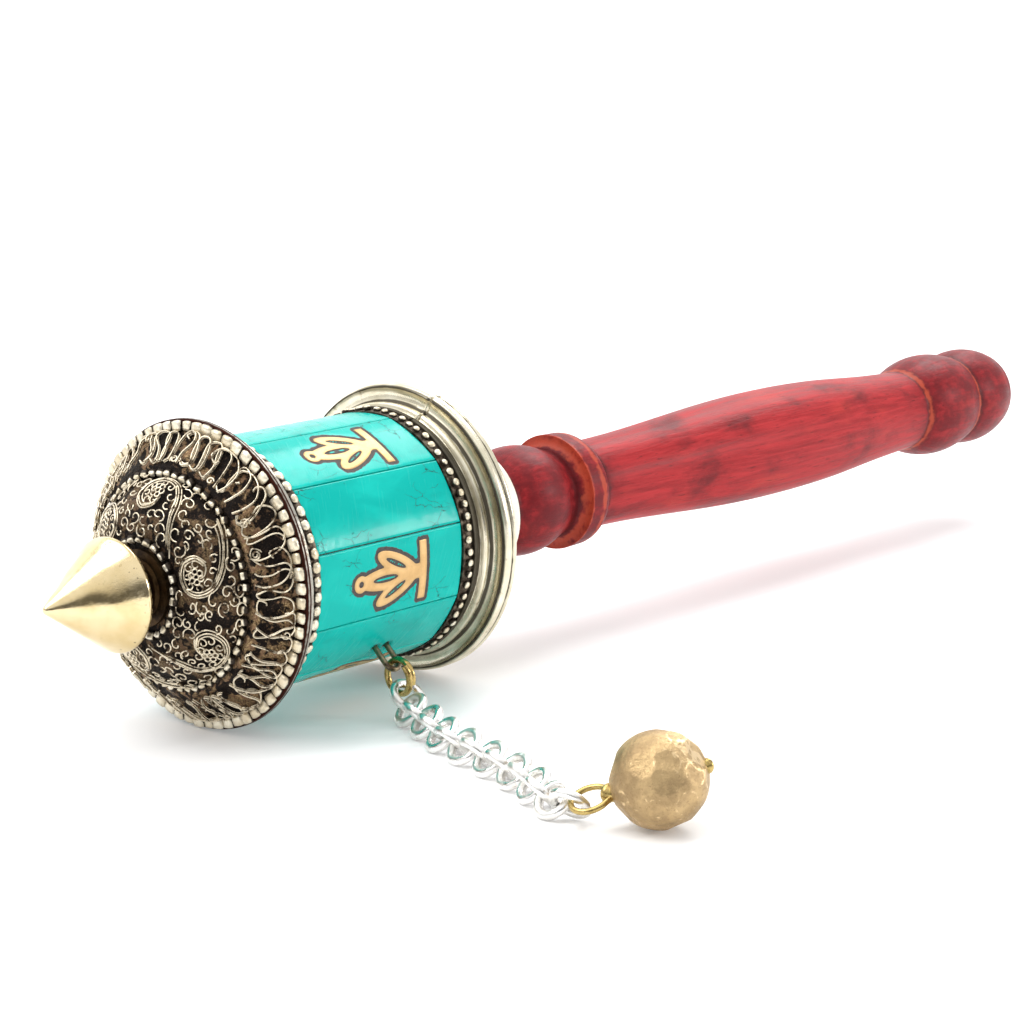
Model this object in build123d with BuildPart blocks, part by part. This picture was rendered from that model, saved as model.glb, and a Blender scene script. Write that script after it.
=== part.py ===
# A hand-held prayer wheel, lying on its side on the rims of its drum.

import os
from math import asin, cos, degrees, hypot, radians, sin

from build123d import *

# Driving dimensions in millimetres and degrees. Stations are distances along the axle
# from the front face of the lid's rim, positive towards the handle.
rim_radius = 26.0            # lid rim, which touches the table
flange_radius = 25.8         # foot rim of the drum
drum_radius = 21.7           # face of the turquoise
strip_inner = 20.5           # back of the turquoise strips
shell_outer = 20.2
shell_inner = 19.5
bush_outer = 4.0
rod_radius = 2.0
running_gap = 0.05           # radial clearance of the bushes on the axle
turning_gap = 0.3            # end clearance between the wheel and what stands still

finial_tip = -32.6
finial_rim = -18.9
finial_foot = -14.2
finial_radius = 9.5
collar_station = -12.0       # front of the dome
dome_foot = -5.6
band_start = 4.4
strip_start = 6.7
strip_end = 40.6
band_end = 42.9
flange_back = 50.0
bone_end = 66.9
rod_end = 117.0
butt_station = 237.9
butt_radius = 4.5

rim_bead = (25.0, 0.95)      # centre radius and wire radius of each beaded ring
dome_bead = (18.1, 0.8)
collar_bead = (8.05, 0.75)
drum_bead = (22.75, 1.05)
upper_bead_station = 5.6
lower_bead_station = 41.7

strip_widths = [33, 31, 35, 29, 29, 29, 29, 29, 29, 29, 29, 29]
first_seam = 78              # angle of the first seam above the horizontal
seam_width = 0.35

eyelet_station = 26.5
eyelet_angle = -43.6
eyelet_wire = 0.45
eyelet_half_width = 1.35
eyelet_reach = 26.2          # radius of the eyelet's tip, measured to its wire's centre
eyelet_root = 19.0

ring_radius = 2.9
ring_wire = 0.6
ring_lean = 40               # lean of the hanging ring away from straight down
link_count = 17
link_radius = 2.65
link_wire = 0.65
eye_radius = 2.9
eye_wire = 0.45
eye_neck = 0.3
ball_radius = 7.5
loose_gap = 0.2              # play between one link and the next
eyelet_gap = 0.3
eye_gap = 0.4                # play of the last link in the eye
first_heading = Vector(-0.6, -0.59, -0.51)
chain_route = [(15.4, -41.8), (12.8, -52.0), (9.0, -63.4), (3.4, -73.6), (2.2, -84.0)]
last_lift = 0.35             # rise of the last link, which leans up through the eye
eye_heading = Vector(0.61, -0.79, 0)


# The chain. Each ring is held as its centre, the direction of its far end, the normal of
# its plane and the joint in front of it. Places are measured from the axle at the rim's
# front face, with the table at minus the rim's radius.
def far_end(ring):
    return ring["centre"] + ring["ahead"] * ring["radius"]


def far_tangent(ring):
    return ring["normal"].cross(ring["ahead"]).normalized()


def hang(pivot, axis, ahead, normal, radius, play):
    centre = pivot + ahead * (radius - play)
    return {"pivot": pivot, "axis": axis, "centre": centre, "ahead": ahead,
            "normal": normal, "radius": radius}


def square_to(direction, normal):
    return (normal - direction * direction.dot(normal)).normalized()


def lay_chain():
    table = -rim_radius
    lean = radians(ring_lean)
    outwards = Vector(0, -cos(radians(eyelet_angle)), sin(radians(eyelet_angle)))
    tip = Vector(eyelet_station, 0, 0) + outwards * eyelet_reach
    ring = hang(tip, Vector(1, 0, 0), Vector(0, -sin(lean), -cos(lean)), Vector(1, 0, 0),
                ring_radius, eyelet_wire + ring_wire + eyelet_gap)
    ahead = first_heading.normalized()
    chain = [ring]
    chain.append(hang(far_end(ring), far_tangent(ring), ahead,
                      square_to(ahead, Vector(0, -1, 1)), link_radius,
                      ring_wire + link_wire + loose_gap))
    play = 2 * link_wire + loose_gap
    settled = table + link_wire + link_radius * sin(radians(45))
    stops = list(chain_route)
    for number in range(2, link_count + 1):
        pivot = far_end(chain[-1])
        while len(stops) > 1 and pivot.Y < stops[0][1] + link_radius:
            stops.pop(0)
        heading = Vector(stops[0][0] - pivot.X, stops[0][1] - pivot.Y, 0).normalized()
        drop = (settled - pivot.Z) / (2 * link_radius - play)
        ahead = (heading + Vector(0, 0, max(-0.3, min(0.3, drop)))).normalized()
        side = -1 if number % 2 else 1
        if number == link_count:
            ahead = (heading + Vector(0, 0, last_lift)).normalized()
        lying = Vector(0, 0, 1) + heading.cross(Vector(0, 0, 1)) * side
        chain.append(hang(pivot, far_tangent(chain[-1]), ahead,
                          square_to(ahead, lying), link_radius, play))
    return chain


def lay_eye(last):
    play = link_wire + eye_wire + eye_gap
    pivot = far_end(last)
    to_ball = 2 * eye_radius - play + eye_neck + ball_radius
    climb = asin((ball_radius - rim_radius - pivot.Z) / to_ball)
    ahead = eye_heading.normalized() * cos(climb) + Vector(0, 0, sin(climb))
    eye = hang(pivot, far_tangent(last), ahead, square_to(ahead, far_tangent(last)),
               eye_radius, play)
    return eye, pivot + ahead * to_ball


rings = lay_chain()
ball_eye, ball_place = lay_eye(rings[-1])

# The part's origin is on the table, under the middle of the whole object.
lid_x = -(finial_tip + butt_station) / 2
axle_y = (ball_radius - ball_place.Y - rim_radius) / 2
axle_start = Vector(lid_x, axle_y, rim_radius)
axle = Axis(axle_start, (1, 0, 0))
side_plane = Plane(axle_start, x_dir=(1, 0, 0), z_dir=(0, -1, 0))


def end_plane(station):
    # Seen from the finial: +X points to the chain's side of the wheel and +Y up.
    return Plane(axle_start + Vector(station, 0, 0), x_dir=(0, -1, 0), z_dir=(-1, 0, 0))


def radial_plane(station, angle, radius):
    # Touches a cylinder about the axle. Its +X runs along the axle.
    outwards = Vector(0, -cos(radians(angle)), sin(radians(angle)))
    place = axle_start + Vector(station, 0, 0) + outwards * radius
    return Plane(place, x_dir=(1, 0, 0), z_dir=outwards)


def ring_plane(ring):
    return Plane(axle_start + ring["centre"], x_dir=ring["ahead"], z_dir=ring["normal"])


def turn_profile(*corners):
    # Turns a closed outline of (station, radius) corners about the axle.
    with BuildSketch(side_plane) as outline:
        with BuildLine():
            Polyline(*corners, close=True)
        make_face()
    revolve(outline.sketch, axis=axle)


def turn_wire(station, centre_radius, wire_radius):
    with BuildSketch(side_plane) as section:
        with Locations((station, centre_radius)):
            Circle(wire_radius)
    revolve(section.sketch, axis=axle)


def turn_sleeve(start, end, inner, outer):
    turn_profile((start, inner), (start, outer), (end, outer), (end, inner))


def save(piece, name):
    piece.part.label = name
    export_step(piece.part, f"parts/{name}.step")


os.makedirs("parts", exist_ok=True)

# Standing pieces: handle, bone bush, axle rod, washer and finial.
with BuildPart() as handle:
    with BuildSketch(side_plane):
        with BuildLine():
            Polyline((84.4, 8.7), (86.0, 8.4))
            ThreePointArc((86.0, 8.4), (87.5, 9.1), (87.8, 10.9))
            Line((87.8, 10.9), (91.2, 10.8))
            ThreePointArc((91.2, 10.8), (93.2, 10.1), (94.0, 8.8))
            Line((94.0, 8.8), (95.4, 8.3))
            Spline((95.4, 8.3), (110, 8.8), (137, 10.5), (155, 10.9), (172, 10.5), (190, 9.2),
                   (202.5, 8.5), tangents=[(1, 0.01), (1, -0.03)])
            Line((202.5, 8.5), (203.6, 8.9))
            ThreePointArc((203.6, 8.9), (212.5, 10.95), (220.6, 9.8))
            Line((220.6, 9.8), (221.6, 9.5))
            ThreePointArc((221.6, 9.5), (228.5, 10.4), (234.6, 8.9))
            ThreePointArc((234.6, 8.9), (237.0, 7.0), (butt_station, butt_radius))
            Polyline((butt_station, butt_radius), (butt_station, 0), (rod_end, 0),
                     (rod_end, rod_radius), (bone_end, rod_radius), (bone_end, 8.3), (70.6, 8.5))
            ThreePointArc((70.6, 8.5), (78.5, 10.3), (84.4, 8.7))
        make_face()
    revolve(axis=axle)
save(handle, "handle")

with BuildPart() as bone_bush:
    bone_start = flange_back + 0.6 + turning_gap
    with BuildSketch(side_plane):
        with BuildLine():
            Polyline((64.8, 11.8), (66.2, 11.8), (bone_end, 11.1), (bone_end, rod_radius),
                     (bone_start, rod_radius), (bone_start, 7.0), (52.4, 7.6))
            ThreePointArc((52.4, 7.6), (57.0, 10.6), (64.8, 11.8))
        make_face()
    revolve(axis=axle)
save(bone_bush, "bone_bush")

with BuildPart() as axle_rod:
    turn_profile((-26.6, 0), (-26.6, 1.6), (-26.2, rod_radius), (rod_end, rod_radius), (rod_end, 0))
save(axle_rod, "axle_rod")

with BuildPart() as finial:
    with BuildSketch(side_plane):
        with BuildLine():
            Line((finial_tip + 0.35, 0.62), (finial_rim - 0.5, finial_radius - 0.1))
            ThreePointArc((finial_rim - 0.5, finial_radius - 0.1), (finial_rim + 0.4, finial_radius - 0.1),
                          (finial_rim + 1.1, finial_radius - 0.9))
            ThreePointArc((finial_rim + 1.1, finial_radius - 0.9), (-16.2, 5.9), (finial_foot, 5.2))
            Polyline((finial_foot, 5.2), (finial_foot, rod_radius), (-26.6, rod_radius), (-26.6, 0),
                     (finial_tip, 0))
            ThreePointArc((finial_tip, 0), (finial_tip + 0.08, 0.36), (finial_tip + 0.35, 0.62))
        make_face()
    revolve(axis=axle)
save(finial, "finial")

with BuildPart() as finial_washer:
    turn_sleeve(finial_foot, collar_station - 0.8 - turning_gap, rod_radius, 5.0)
save(finial_washer, "finial_washer")

# The wheel's lid: plate, stepped cone, dome, beaded wires and filigree.
with BuildPart() as lid_plate:
    turn_profile((-0.6, bush_outer), (-0.6, rim_radius - 0.2), (-0.4, rim_radius), (0.5, rim_radius),
                 (0.5, 24.4), (1.1, 24.4), (1.1, 25.1), (1.8, 25.1), (1.8, 22.0), (band_start, 22.0),
                 (band_start, 19.45), (8.0, 19.45), (8.0, 18.65), (0.4, 18.65), (0.4, bush_outer))
save(lid_plate, "lid_plate")

with BuildPart() as lid_cone:
    turn_profile((-0.6, 24.0), (dome_foot, 19.0), (dome_foot, 16.4), (dome_foot + 0.8, 16.4),
                 (dome_foot + 0.8, 18.7), (-0.6, 22.9))
save(lid_cone, "lid_cone")

with BuildPart() as dome:
    with BuildSketch(side_plane):
        with BuildLine():
            ThreePointArc((dome_foot, 17.2), (-10.3, 13.6), (collar_station, 8.6))
            Polyline((collar_station, 8.6), (collar_station, bush_outer), (collar_station + 0.8, bush_outer),
                     (collar_station + 0.8, 8.4))
            ThreePointArc((collar_station + 0.8, 8.4), (-9.6, 13.0), (dome_foot, 16.4))
            Line((dome_foot, 16.4), (dome_foot, 17.2))
        make_face()
    revolve(axis=axle)
save(dome, "dome")

with BuildPart() as upper_bush:
    turn_profile((collar_station - 0.8, rod_radius + running_gap), (collar_station - 0.8, 6.4),
                 (collar_station, 6.4), (collar_station, bush_outer), (2.0, bush_outer),
                 (2.0, rod_radius + running_gap))
save(upper_bush, "upper_bush")

with BuildPart() as rim_beads:
    turn_wire(-0.6 - rim_bead[1], *rim_bead)
save(rim_beads, "rim_beads")

with BuildPart() as dome_beads:
    turn_wire(dome_foot - dome_bead[1], *dome_bead)
save(dome_beads, "dome_beads")

with BuildPart() as collar_beads:
    turn_wire(collar_station - collar_bead[1], *collar_bead)
save(collar_beads, "collar_beads")

# Filigree: rings of wire soldered flat on the cone and on the dome.
scroll_wire = 0.28
cone_slope = degrees(asin((19.0 - 24.0) / hypot(19.0 - 24.0, dome_foot + 0.6)))
cone_scrolls = 36
dome_scrolls = 6


def scroll_plane(station, radius, angle, slope, lift):
    # Lies on the lid's face. slope is how far that face leans back from square to the axle.
    outwards = Vector(0, -cos(radians(angle)), sin(radians(angle)))
    normal = Vector(-cos(radians(slope)), 0, 0) + outwards * sin(radians(slope))
    place = axle_start + Vector(station, 0, 0) + outwards * radius + normal * lift
    return Plane(place, z_dir=normal)


with BuildPart() as cone_filigree:
    for number in range(cone_scrolls):
        angle = number * 360 / cone_scrolls
        with Locations(scroll_plane(-3.4, 21.2, angle, -cone_slope, scroll_wire + 0.02)):
            Torus(1.5, scroll_wire)
save(cone_filigree, "cone_filigree")

with BuildPart() as dome_filigree:
    for number in range(dome_scrolls):
        angle = number * 360 / dome_scrolls
        with Locations(scroll_plane(-10.3, 13.6, angle, 36, scroll_wire + 0.45)):
            Torus(3.0, scroll_wire)
save(dome_filigree, "dome_filigree")

# The drum: shell, bands, beaded wires, resin bed, brass inlays and turquoise strips.
with BuildPart() as upper_band:
    turn_sleeve(band_start, strip_start, shell_outer, drum_radius)
save(upper_band, "upper_band")

with BuildPart() as lower_band:
    turn_sleeve(strip_end, band_end, shell_outer, drum_radius)
save(lower_band, "lower_band")

with BuildPart() as upper_beads:
    turn_wire(upper_bead_station, *drum_bead)
save(upper_beads, "upper_beads")

with BuildPart() as lower_beads:
    turn_wire(lower_bead_station, *drum_bead)
save(lower_beads, "lower_beads")

base_thickness = 1.2
eyelet_plane = radial_plane(eyelet_station, eyelet_angle, 0)


def eyelet_holes():
    with BuildSketch(eyelet_plane) as holes:
        with Locations((-eyelet_half_width, 0), (eyelet_half_width, 0)):
            Circle(eyelet_wire)
    extrude(holes.sketch, amount=rim_radius, mode=Mode.SUBTRACT)


with BuildPart() as drum_shell:
    turn_sleeve(band_start, flange_back - base_thickness, shell_inner, shell_outer)
    eyelet_holes()
save(drum_shell, "drum_shell")

inlay_petal = (5.3, 1.7)     # half length and half width of a side petal
inlay_root = 5.6             # where the petals meet, measured along the axle
inlay_margin = 0.9           # turquoise left beside the inlay's bar
strip_length = strip_end - strip_start
strip_middle = (strip_end + strip_start) / 2


def draw_lotus(half_span):
    # A bud between two leaves, standing on a bar, lying along the axle.
    reach = inlay_petal[0] - 0.6
    spread = degrees(asin((half_span - 0.9) / (reach + inlay_petal[0])))
    with Locations((7.4, 0)):
        Rectangle(2.0, 2 * half_span)
    with Locations((inlay_root, 0)):
        Rectangle(3.0, 3.0)
    with Locations((-0.8, 0)):
        Ellipse(6.9, 2.0)
    for fan in (-spread, spread):
        middle = (inlay_root - reach * cos(radians(fan)), -reach * sin(radians(fan)))
        with Locations(Location(middle, fan)):
            Ellipse(*inlay_petal)
    with Locations((-7.4, 0)):
        Circle(1.5)


seams = [first_seam]
for width in strip_widths:
    seams.append(seams[-1] - width)

with BuildPart() as brass_inlays:
    for number in range(0, len(strip_widths), 2):
        middle = (seams[number] + seams[number + 1]) / 2
        half_chord = strip_inner * sin(radians(strip_widths[number] / 2))
        with BuildSketch(radial_plane(strip_middle, middle, rim_radius)):
            draw_lotus(half_chord - inlay_margin)
        extrude(amount=-8)
    with BuildSketch(end_plane(strip_start)):
        Circle(drum_radius)
        Circle(strip_inner, mode=Mode.SUBTRACT)
    extrude(amount=-strip_length, mode=Mode.INTERSECT)
save(brass_inlays, "brass_inlays")


def draw_strip(number):
    # The end outline of one strip, a seam's width narrower than its share of the drum.
    seam_angle = degrees(seam_width / drum_radius)
    start = seams[number + 1] + seam_angle / 2
    sweep = strip_widths[number] - seam_angle
    with BuildSketch(end_plane(strip_start)) as outline:
        with BuildLine():
            face = CenterArc((0, 0), drum_radius, start, sweep)
            back = CenterArc((0, 0), strip_inner, start, sweep)
            Line(face @ 0, back @ 0)
            Line(face @ 1, back @ 1)
        make_face()
    return outline.sketch


with BuildPart() as resin_bed:
    turn_sleeve(strip_start, strip_end, shell_outer, drum_radius)
    for number in range(len(strip_widths)):
        extrude(draw_strip(number), amount=-strip_length, mode=Mode.SUBTRACT)
    eyelet_holes()
save(resin_bed, "resin_bed")

eyelet_strip = 3
for number in range(len(strip_widths)):
    with BuildPart() as strip:
        extrude(draw_strip(number), amount=-strip_length)
        if number % 2 == 0:
            add(brass_inlays.part, mode=Mode.SUBTRACT)
        if number == eyelet_strip:
            eyelet_holes()
    save(strip, f"turquoise_strip_{number + 1:02d}")

# The foot of the drum.
with BuildPart() as flange:
    with BuildSketch(side_plane):
        with BuildLine():
            Polyline((band_end, shell_outer), (band_end, 22.2), (43.8, 22.2), (44.0, 21.7), (44.8, 21.7),
                     (45.0, 22.2))
            ThreePointArc((45.0, 22.2), (45.6, 22.7), (46.1, 22.4))
            ThreePointArc((46.1, 22.4), (46.9, 24.0), (46.4, 25.3))
            Polyline((46.4, 25.3), (46.9, 25.1), (47.0, 25.6))
            ThreePointArc((47.0, 25.6), (47.8, flange_radius), (48.6, 25.6))
            Line((48.6, 25.6), (48.8, 25.4))
            ThreePointArc((48.8, 25.4), (49.5, 25.7), (flange_back, 25.0))
            Polyline((flange_back, 25.0), (flange_back, shell_outer), (band_end, shell_outer))
        make_face()
    revolve(axis=axle)
save(flange, "flange")

with BuildPart() as base_plate:
    turn_sleeve(flange_back - base_thickness, flange_back, bush_outer, shell_outer)
save(base_plate, "base_plate")

with BuildPart() as lower_bush:
    turn_profile((45.0, rod_radius + running_gap), (45.0, bush_outer), (flange_back, bush_outer),
                 (flange_back, 6.2), (flange_back + 0.6, 6.2), (flange_back + 0.6, rod_radius + running_gap))
save(lower_bush, "lower_bush")

# The rolled strip of paper inside, with its ribbon.
with BuildPart() as paper_roll:
    turn_sleeve(8.6, 44.4, 3.4, 17.6)
save(paper_roll, "paper_roll")

with BuildPart() as paper_ribbon:
    turn_sleeve(22.0, 31.0, 17.6, 18.1)
save(paper_ribbon, "paper_ribbon")

# Eyelet, ring, chain and weight.
with BuildPart() as eyelet:
    bend = eyelet_reach - eyelet_half_width
    with BuildLine(Plane(eyelet_plane.origin, x_dir=(1, 0, 0), z_dir=-eyelet_plane.y_dir)) as hairpin:
        Line((-eyelet_half_width, eyelet_root), (-eyelet_half_width, bend))
        ThreePointArc((-eyelet_half_width, bend), (0, eyelet_reach), (eyelet_half_width, bend))
        Line((eyelet_half_width, bend), (eyelet_half_width, eyelet_root))
    with BuildSketch(Plane(hairpin.line @ 0, z_dir=hairpin.line % 0)):
        Circle(eyelet_wire)
    sweep()
save(eyelet, "eyelet")

with BuildPart(ring_plane(rings[0])) as jump_ring:
    Torus(ring_radius, ring_wire)
save(jump_ring, "jump_ring")

for number in range(1, link_count + 1):
    with BuildPart(ring_plane(rings[number])) as link:
        Torus(link_radius, link_wire)
    save(link, f"chain_link_{number:02d}")

ball_plane = Plane(axle_start + ball_place, z_dir=ball_eye["ahead"])
shank_start = -ball_radius - eye_neck - eye_wire / 2

with BuildPart(ball_plane) as ball:
    Sphere(ball_radius)
    Cylinder(eye_wire, 2.2 * ball_radius, mode=Mode.SUBTRACT)
save(ball, "ball")

with BuildPart() as eye_pin:
    with BuildSketch(ball_plane.offset(shank_start)):
        Circle(eye_wire)
    extrude(amount=ball_radius - shank_start)
    with BuildSketch(ball_plane.offset(ball_radius)):
        Circle(1.0)
    extrude(amount=0.5, taper=20)
    with Locations(ring_plane(ball_eye)):
        Torus(eye_radius, eye_wire)
save(eye_pin, "eye_pin")

print("overall length", round(butt_station - finial_tip, 1))
print("ball place from the axle", ball_place)
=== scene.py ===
import math
import random

import bmesh
import bpy
import numpy as np
from mathutils import Matrix, Vector


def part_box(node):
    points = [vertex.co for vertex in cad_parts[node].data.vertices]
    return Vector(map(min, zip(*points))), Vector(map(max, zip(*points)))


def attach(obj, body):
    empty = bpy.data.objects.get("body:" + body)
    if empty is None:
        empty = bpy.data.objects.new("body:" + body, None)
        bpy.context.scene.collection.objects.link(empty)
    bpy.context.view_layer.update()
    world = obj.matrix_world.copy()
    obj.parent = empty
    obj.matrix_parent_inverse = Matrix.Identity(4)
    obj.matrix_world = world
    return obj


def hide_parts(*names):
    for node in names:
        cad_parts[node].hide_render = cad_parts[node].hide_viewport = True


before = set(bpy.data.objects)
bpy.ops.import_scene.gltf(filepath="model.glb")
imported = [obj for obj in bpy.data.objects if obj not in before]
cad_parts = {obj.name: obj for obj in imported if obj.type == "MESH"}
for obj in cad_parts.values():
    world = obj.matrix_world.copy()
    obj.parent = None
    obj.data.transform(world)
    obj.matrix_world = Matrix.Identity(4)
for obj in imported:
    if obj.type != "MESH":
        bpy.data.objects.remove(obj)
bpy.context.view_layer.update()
scene = bpy.context.scene
mm = 0.001

# the axle's line and the lid's front face, from the frame
lidLow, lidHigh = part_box("lid_plate")
axleY = (lidLow.y + lidHigh.y) / 2
axleZ = (lidLow.z + lidHigh.z) / 2
rimFront = lidLow.x + 0.6 * mm  # station 0, the front of the lid's rim
print("frame loaded")

# camera
view = {
    "lens": 98.4,
    "heading": 41.77,  # degrees from +X
    "pitch": -12.34,
    "fromRim": (-299.8, -336.7, 108.5),  # mm, from the middle of the lid's rim
}


def makeCamera():
    data = bpy.data.cameras.new("camera")
    data.lens = view["lens"]
    data.sensor_width = 36
    data.clip_start = 0.01
    camera = bpy.data.objects.new("camera", data)
    scene.collection.objects.link(camera)
    camera.location = Vector((rimFront, axleY, axleZ)) + Vector(view["fromRim"]) * mm
    heading, pitch = math.radians(view["heading"]), math.radians(view["pitch"])
    camera.rotation_euler = (math.pi / 2 + pitch, 0, heading - math.pi / 2)
    scene.camera = camera


makeCamera()
print("camera placed")


# node helpers, shared by the finishes and the geometry trees
def addNode(tree, kind, wires=None, **settings):
    node = tree.nodes.new(kind)
    for key, value in settings.items():
        setattr(node, key, value)
    for key, value in (wires or {}).items():
        socket = node.inputs[key]
        if isinstance(value, bpy.types.NodeSocket):
            tree.links.new(value, socket)
        elif socket.type == "RGBA" and len(value) == 3:
            socket.default_value = (*value, 1)
        else:
            socket.default_value = value
    return node


def paint(tree, kind, wires=None, **settings):
    # a shader node's first output
    return addNode(tree, "ShaderNode" + kind, wires, **settings).outputs[0]


def geo(tree, kind, wires=None, **settings):
    # a geometry node's first output
    return addNode(tree, "GeometryNode" + kind, wires, **settings).outputs[0]


def stored(tree, name):
    return addNode(tree, "ShaderNodeAttribute", attribute_name=name).outputs["Fac"]


def reckon(tree, operation, first, second=0.0, third=0.0):
    wires = {0: first, 1: second}
    if operation in ("MULTIPLY_ADD", "SMOOTH_MIN", "SMOOTH_MAX"):
        wires[2] = third
    return paint(tree, "Math", wires, operation=operation)


def times(tree, first, second):
    return reckon(tree, "MULTIPLY", first, second)


def plus(tree, first, second):
    return reckon(tree, "ADD", first, second)


def minus(tree, first, second):
    return reckon(tree, "SUBTRACT", first, second)


def larger(tree, first, second):
    return reckon(tree, "MAXIMUM", first, second)


def ragged(tree, noise, amount, base=None):
    # noise centred on nought, on its own or added to base
    centred = reckon(tree, "SUBTRACT", noise, 0.5)
    if base is None:
        return reckon(tree, "MULTIPLY", centred, amount)
    return reckon(tree, "MULTIPLY_ADD", centred, amount, base)


def fade(tree, value, low, high, start=0.0, end=1.0):
    wires = {"Value": value, "From Min": low, "From Max": high, "To Min": start, "To Max": end}
    return paint(tree, "MapRange", wires, interpolation_type="SMOOTHSTEP")


def mixColours(tree, amount, first, second, mode="MIX"):
    wires = {0: amount, 6: first, 7: second}
    return addNode(tree, "ShaderNodeMix", wires, data_type="RGBA", blend_type=mode).outputs[2]


def blend(tree, noise, low, high, first, second, most=1.0):
    # first where the noise is below low, and second where it is above high
    return mixColours(tree, fade(tree, noise, low, high, 0.0, most), first, second)


def newFinish(name):
    material = bpy.data.materials.new(name)
    material.use_nodes = True
    return material, material.node_tree, material.node_tree.nodes["Principled BSDF"]


def axleSpace(tree):
    # millimetres from the middle of the rim's front face: X runs along the axle
    coords = addNode(tree, "ShaderNodeTexCoord").outputs["Object"]
    shift = (-rimFront / mm, -axleY / mm, -axleZ / mm)
    wires = {"Vector": coords, "Location": shift, "Scale": (1 / mm, 1 / mm, 1 / mm)}
    place = paint(tree, "Mapping", wires)
    parts = addNode(tree, "ShaderNodeSeparateXYZ", {0: place}).outputs
    squares = times(tree, parts[1], parts[1])
    radius = reckon(tree, "SQRT", reckon(tree, "MULTIPLY_ADD", parts[2], parts[2], squares))
    backwards = times(tree, parts[1], -1.0)
    angle = reckon(tree, "ARCTAN2", parts[2], backwards)
    return {"station": parts[0], "radius": radius, "angle": angle}, place


def grains(tree, place, size, detail=4.0, rough=0.55, stretch=(1, 1, 1), twist=0.0):
    # noise whose lumps are about size millimetres, longer where stretch is above 1
    squeeze = tuple(1 / part for part in stretch)
    vector = paint(tree, "Mapping", {"Vector": place, "Scale": squeeze})
    shape = {"Scale": 1 / size, "Detail": detail, "Roughness": rough, "Distortion": twist}
    return paint(tree, "TexNoise", {"Vector": vector, **shape})


def cells(tree, place, size, feature="F1", stretch=(1, 1, 1)):
    squeeze = tuple(1 / part for part in stretch)
    vector = paint(tree, "Mapping", {"Vector": place, "Scale": squeeze})
    return addNode(tree, "ShaderNodeTexVoronoi", {"Vector": vector, "Scale": 1 / size}, feature=feature)


def relief(tree, height, depth, strength=1.0, under=None):
    wires = {"Height": height, "Distance": depth * mm, "Strength": strength}
    if under:
        wires["Normal"] = under
    return paint(tree, "Bump", wires)


def joinShader(tree, shader, **sockets):
    for key, value in sockets.items():
        socket = shader.inputs[{"colour": "Base Color", "rough": "Roughness", "normal": "Normal",
                                "metal": "Metallic", "coat": "Coat Weight", "coatRough": "Coat Roughness",
                                "soft": "Subsurface Weight"}[key]]
        if isinstance(value, bpy.types.NodeSocket):
            tree.links.new(value, socket)
        else:
            socket.default_value = value


def marks(tree, space, places, noise, inner, outer, reach=0.0):
    # 1 on lines round the axle, each given as an axis, a middle and a half width
    mask = None
    for axis, middle, half in places:
        away = reckon(tree, "ABSOLUTE", minus(tree, space[axis], middle))
        away = plus(tree, away, noise)
        mark = fade(tree, away, half * inner, half * outer + reach, 1.0, 0.0)
        mask = larger(tree, mask, mark) if mask else mark
    return mask


def metalFinish(name, bright, worn, patch=3.0, cover=(0.5, 0.72), rough=(0.2, 0.45), lumps=0.05,
                lumpSize=2.5, grooves=(), soot=(0.03, 0.022, 0.016), shift=(0, 0, 0)):
    # worn metal: bright with stained patches, and dark along the given grooves (axis, middle, half width)
    material, tree, shader = newFinish(name)
    space, place = axleSpace(tree)
    place = paint(tree, "Mapping", {"Vector": place, "Location": shift})
    stain = fade(tree, grains(tree, place, patch, 6.0, 0.62), cover[0], cover[1])
    fine = grains(tree, place, 0.35, 3.0)
    colour = mixColours(tree, stain, bright, worn)
    colour = blend(tree, fine, 0.62, 0.8, colour, worn, 0.35)
    dirt = marks(tree, space, grooves, ragged(tree, grains(tree, place, 1.2, 5.0), 0.5), 0.55, 1.25)
    roughness = fade(tree, grains(tree, place, patch * 0.6, 5.0), 0.3, 0.75, rough[0], rough[1])
    if dirt:
        colour = mixColours(tree, dirt, colour, soot)
        roughness = reckon(tree, "MULTIPLY_ADD", dirt, 0.3, roughness)
    height = grains(tree, place, lumpSize, 5.0, 0.6)
    joinShader(
        tree, shader, colour=colour, rough=roughness, metal=1.0,
        normal=relief(tree, height, lumps * lumpSize))
    return material


# geometry helpers
def onAxle(station, radius=0.0, angle=0.0):
    # a point near the axle; angle is measured up from the front side, in degrees
    turn = math.radians(angle)
    across, up = radius * math.cos(turn) * mm, radius * math.sin(turn) * mm
    return Vector((rimFront + station * mm, axleY - across, axleZ + up))


def arcPath(start, middle, end, steps=8):
    # points on the arc through three points, without the first
    (ax, ay), (bx, by), (cx, cy) = start, middle, end
    d = 2 * (ax * (by - cy) + bx * (cy - ay) + cx * (ay - by))
    a2, b2, c2 = ax * ax + ay * ay, bx * bx + by * by, cx * cx + cy * cy
    ux = (a2 * (by - cy) + b2 * (cy - ay) + c2 * (ay - by)) / d
    uy = (a2 * (cx - bx) + b2 * (ax - cx) + c2 * (bx - ax)) / d
    radius = math.hypot(ax - ux, ay - uy)
    angles = [math.atan2(y - uy, x - ux) for x, y in (start, middle, end)]
    sweep = (angles[2] - angles[0]) % (2 * math.pi)
    if (angles[1] - angles[0]) % (2 * math.pi) > sweep:
        sweep -= 2 * math.pi
    turns = [angles[0] + sweep * step / steps for step in range(1, steps + 1)]
    return [(ux + radius * math.cos(turn), uy + radius * math.sin(turn)) for turn in turns]


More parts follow.
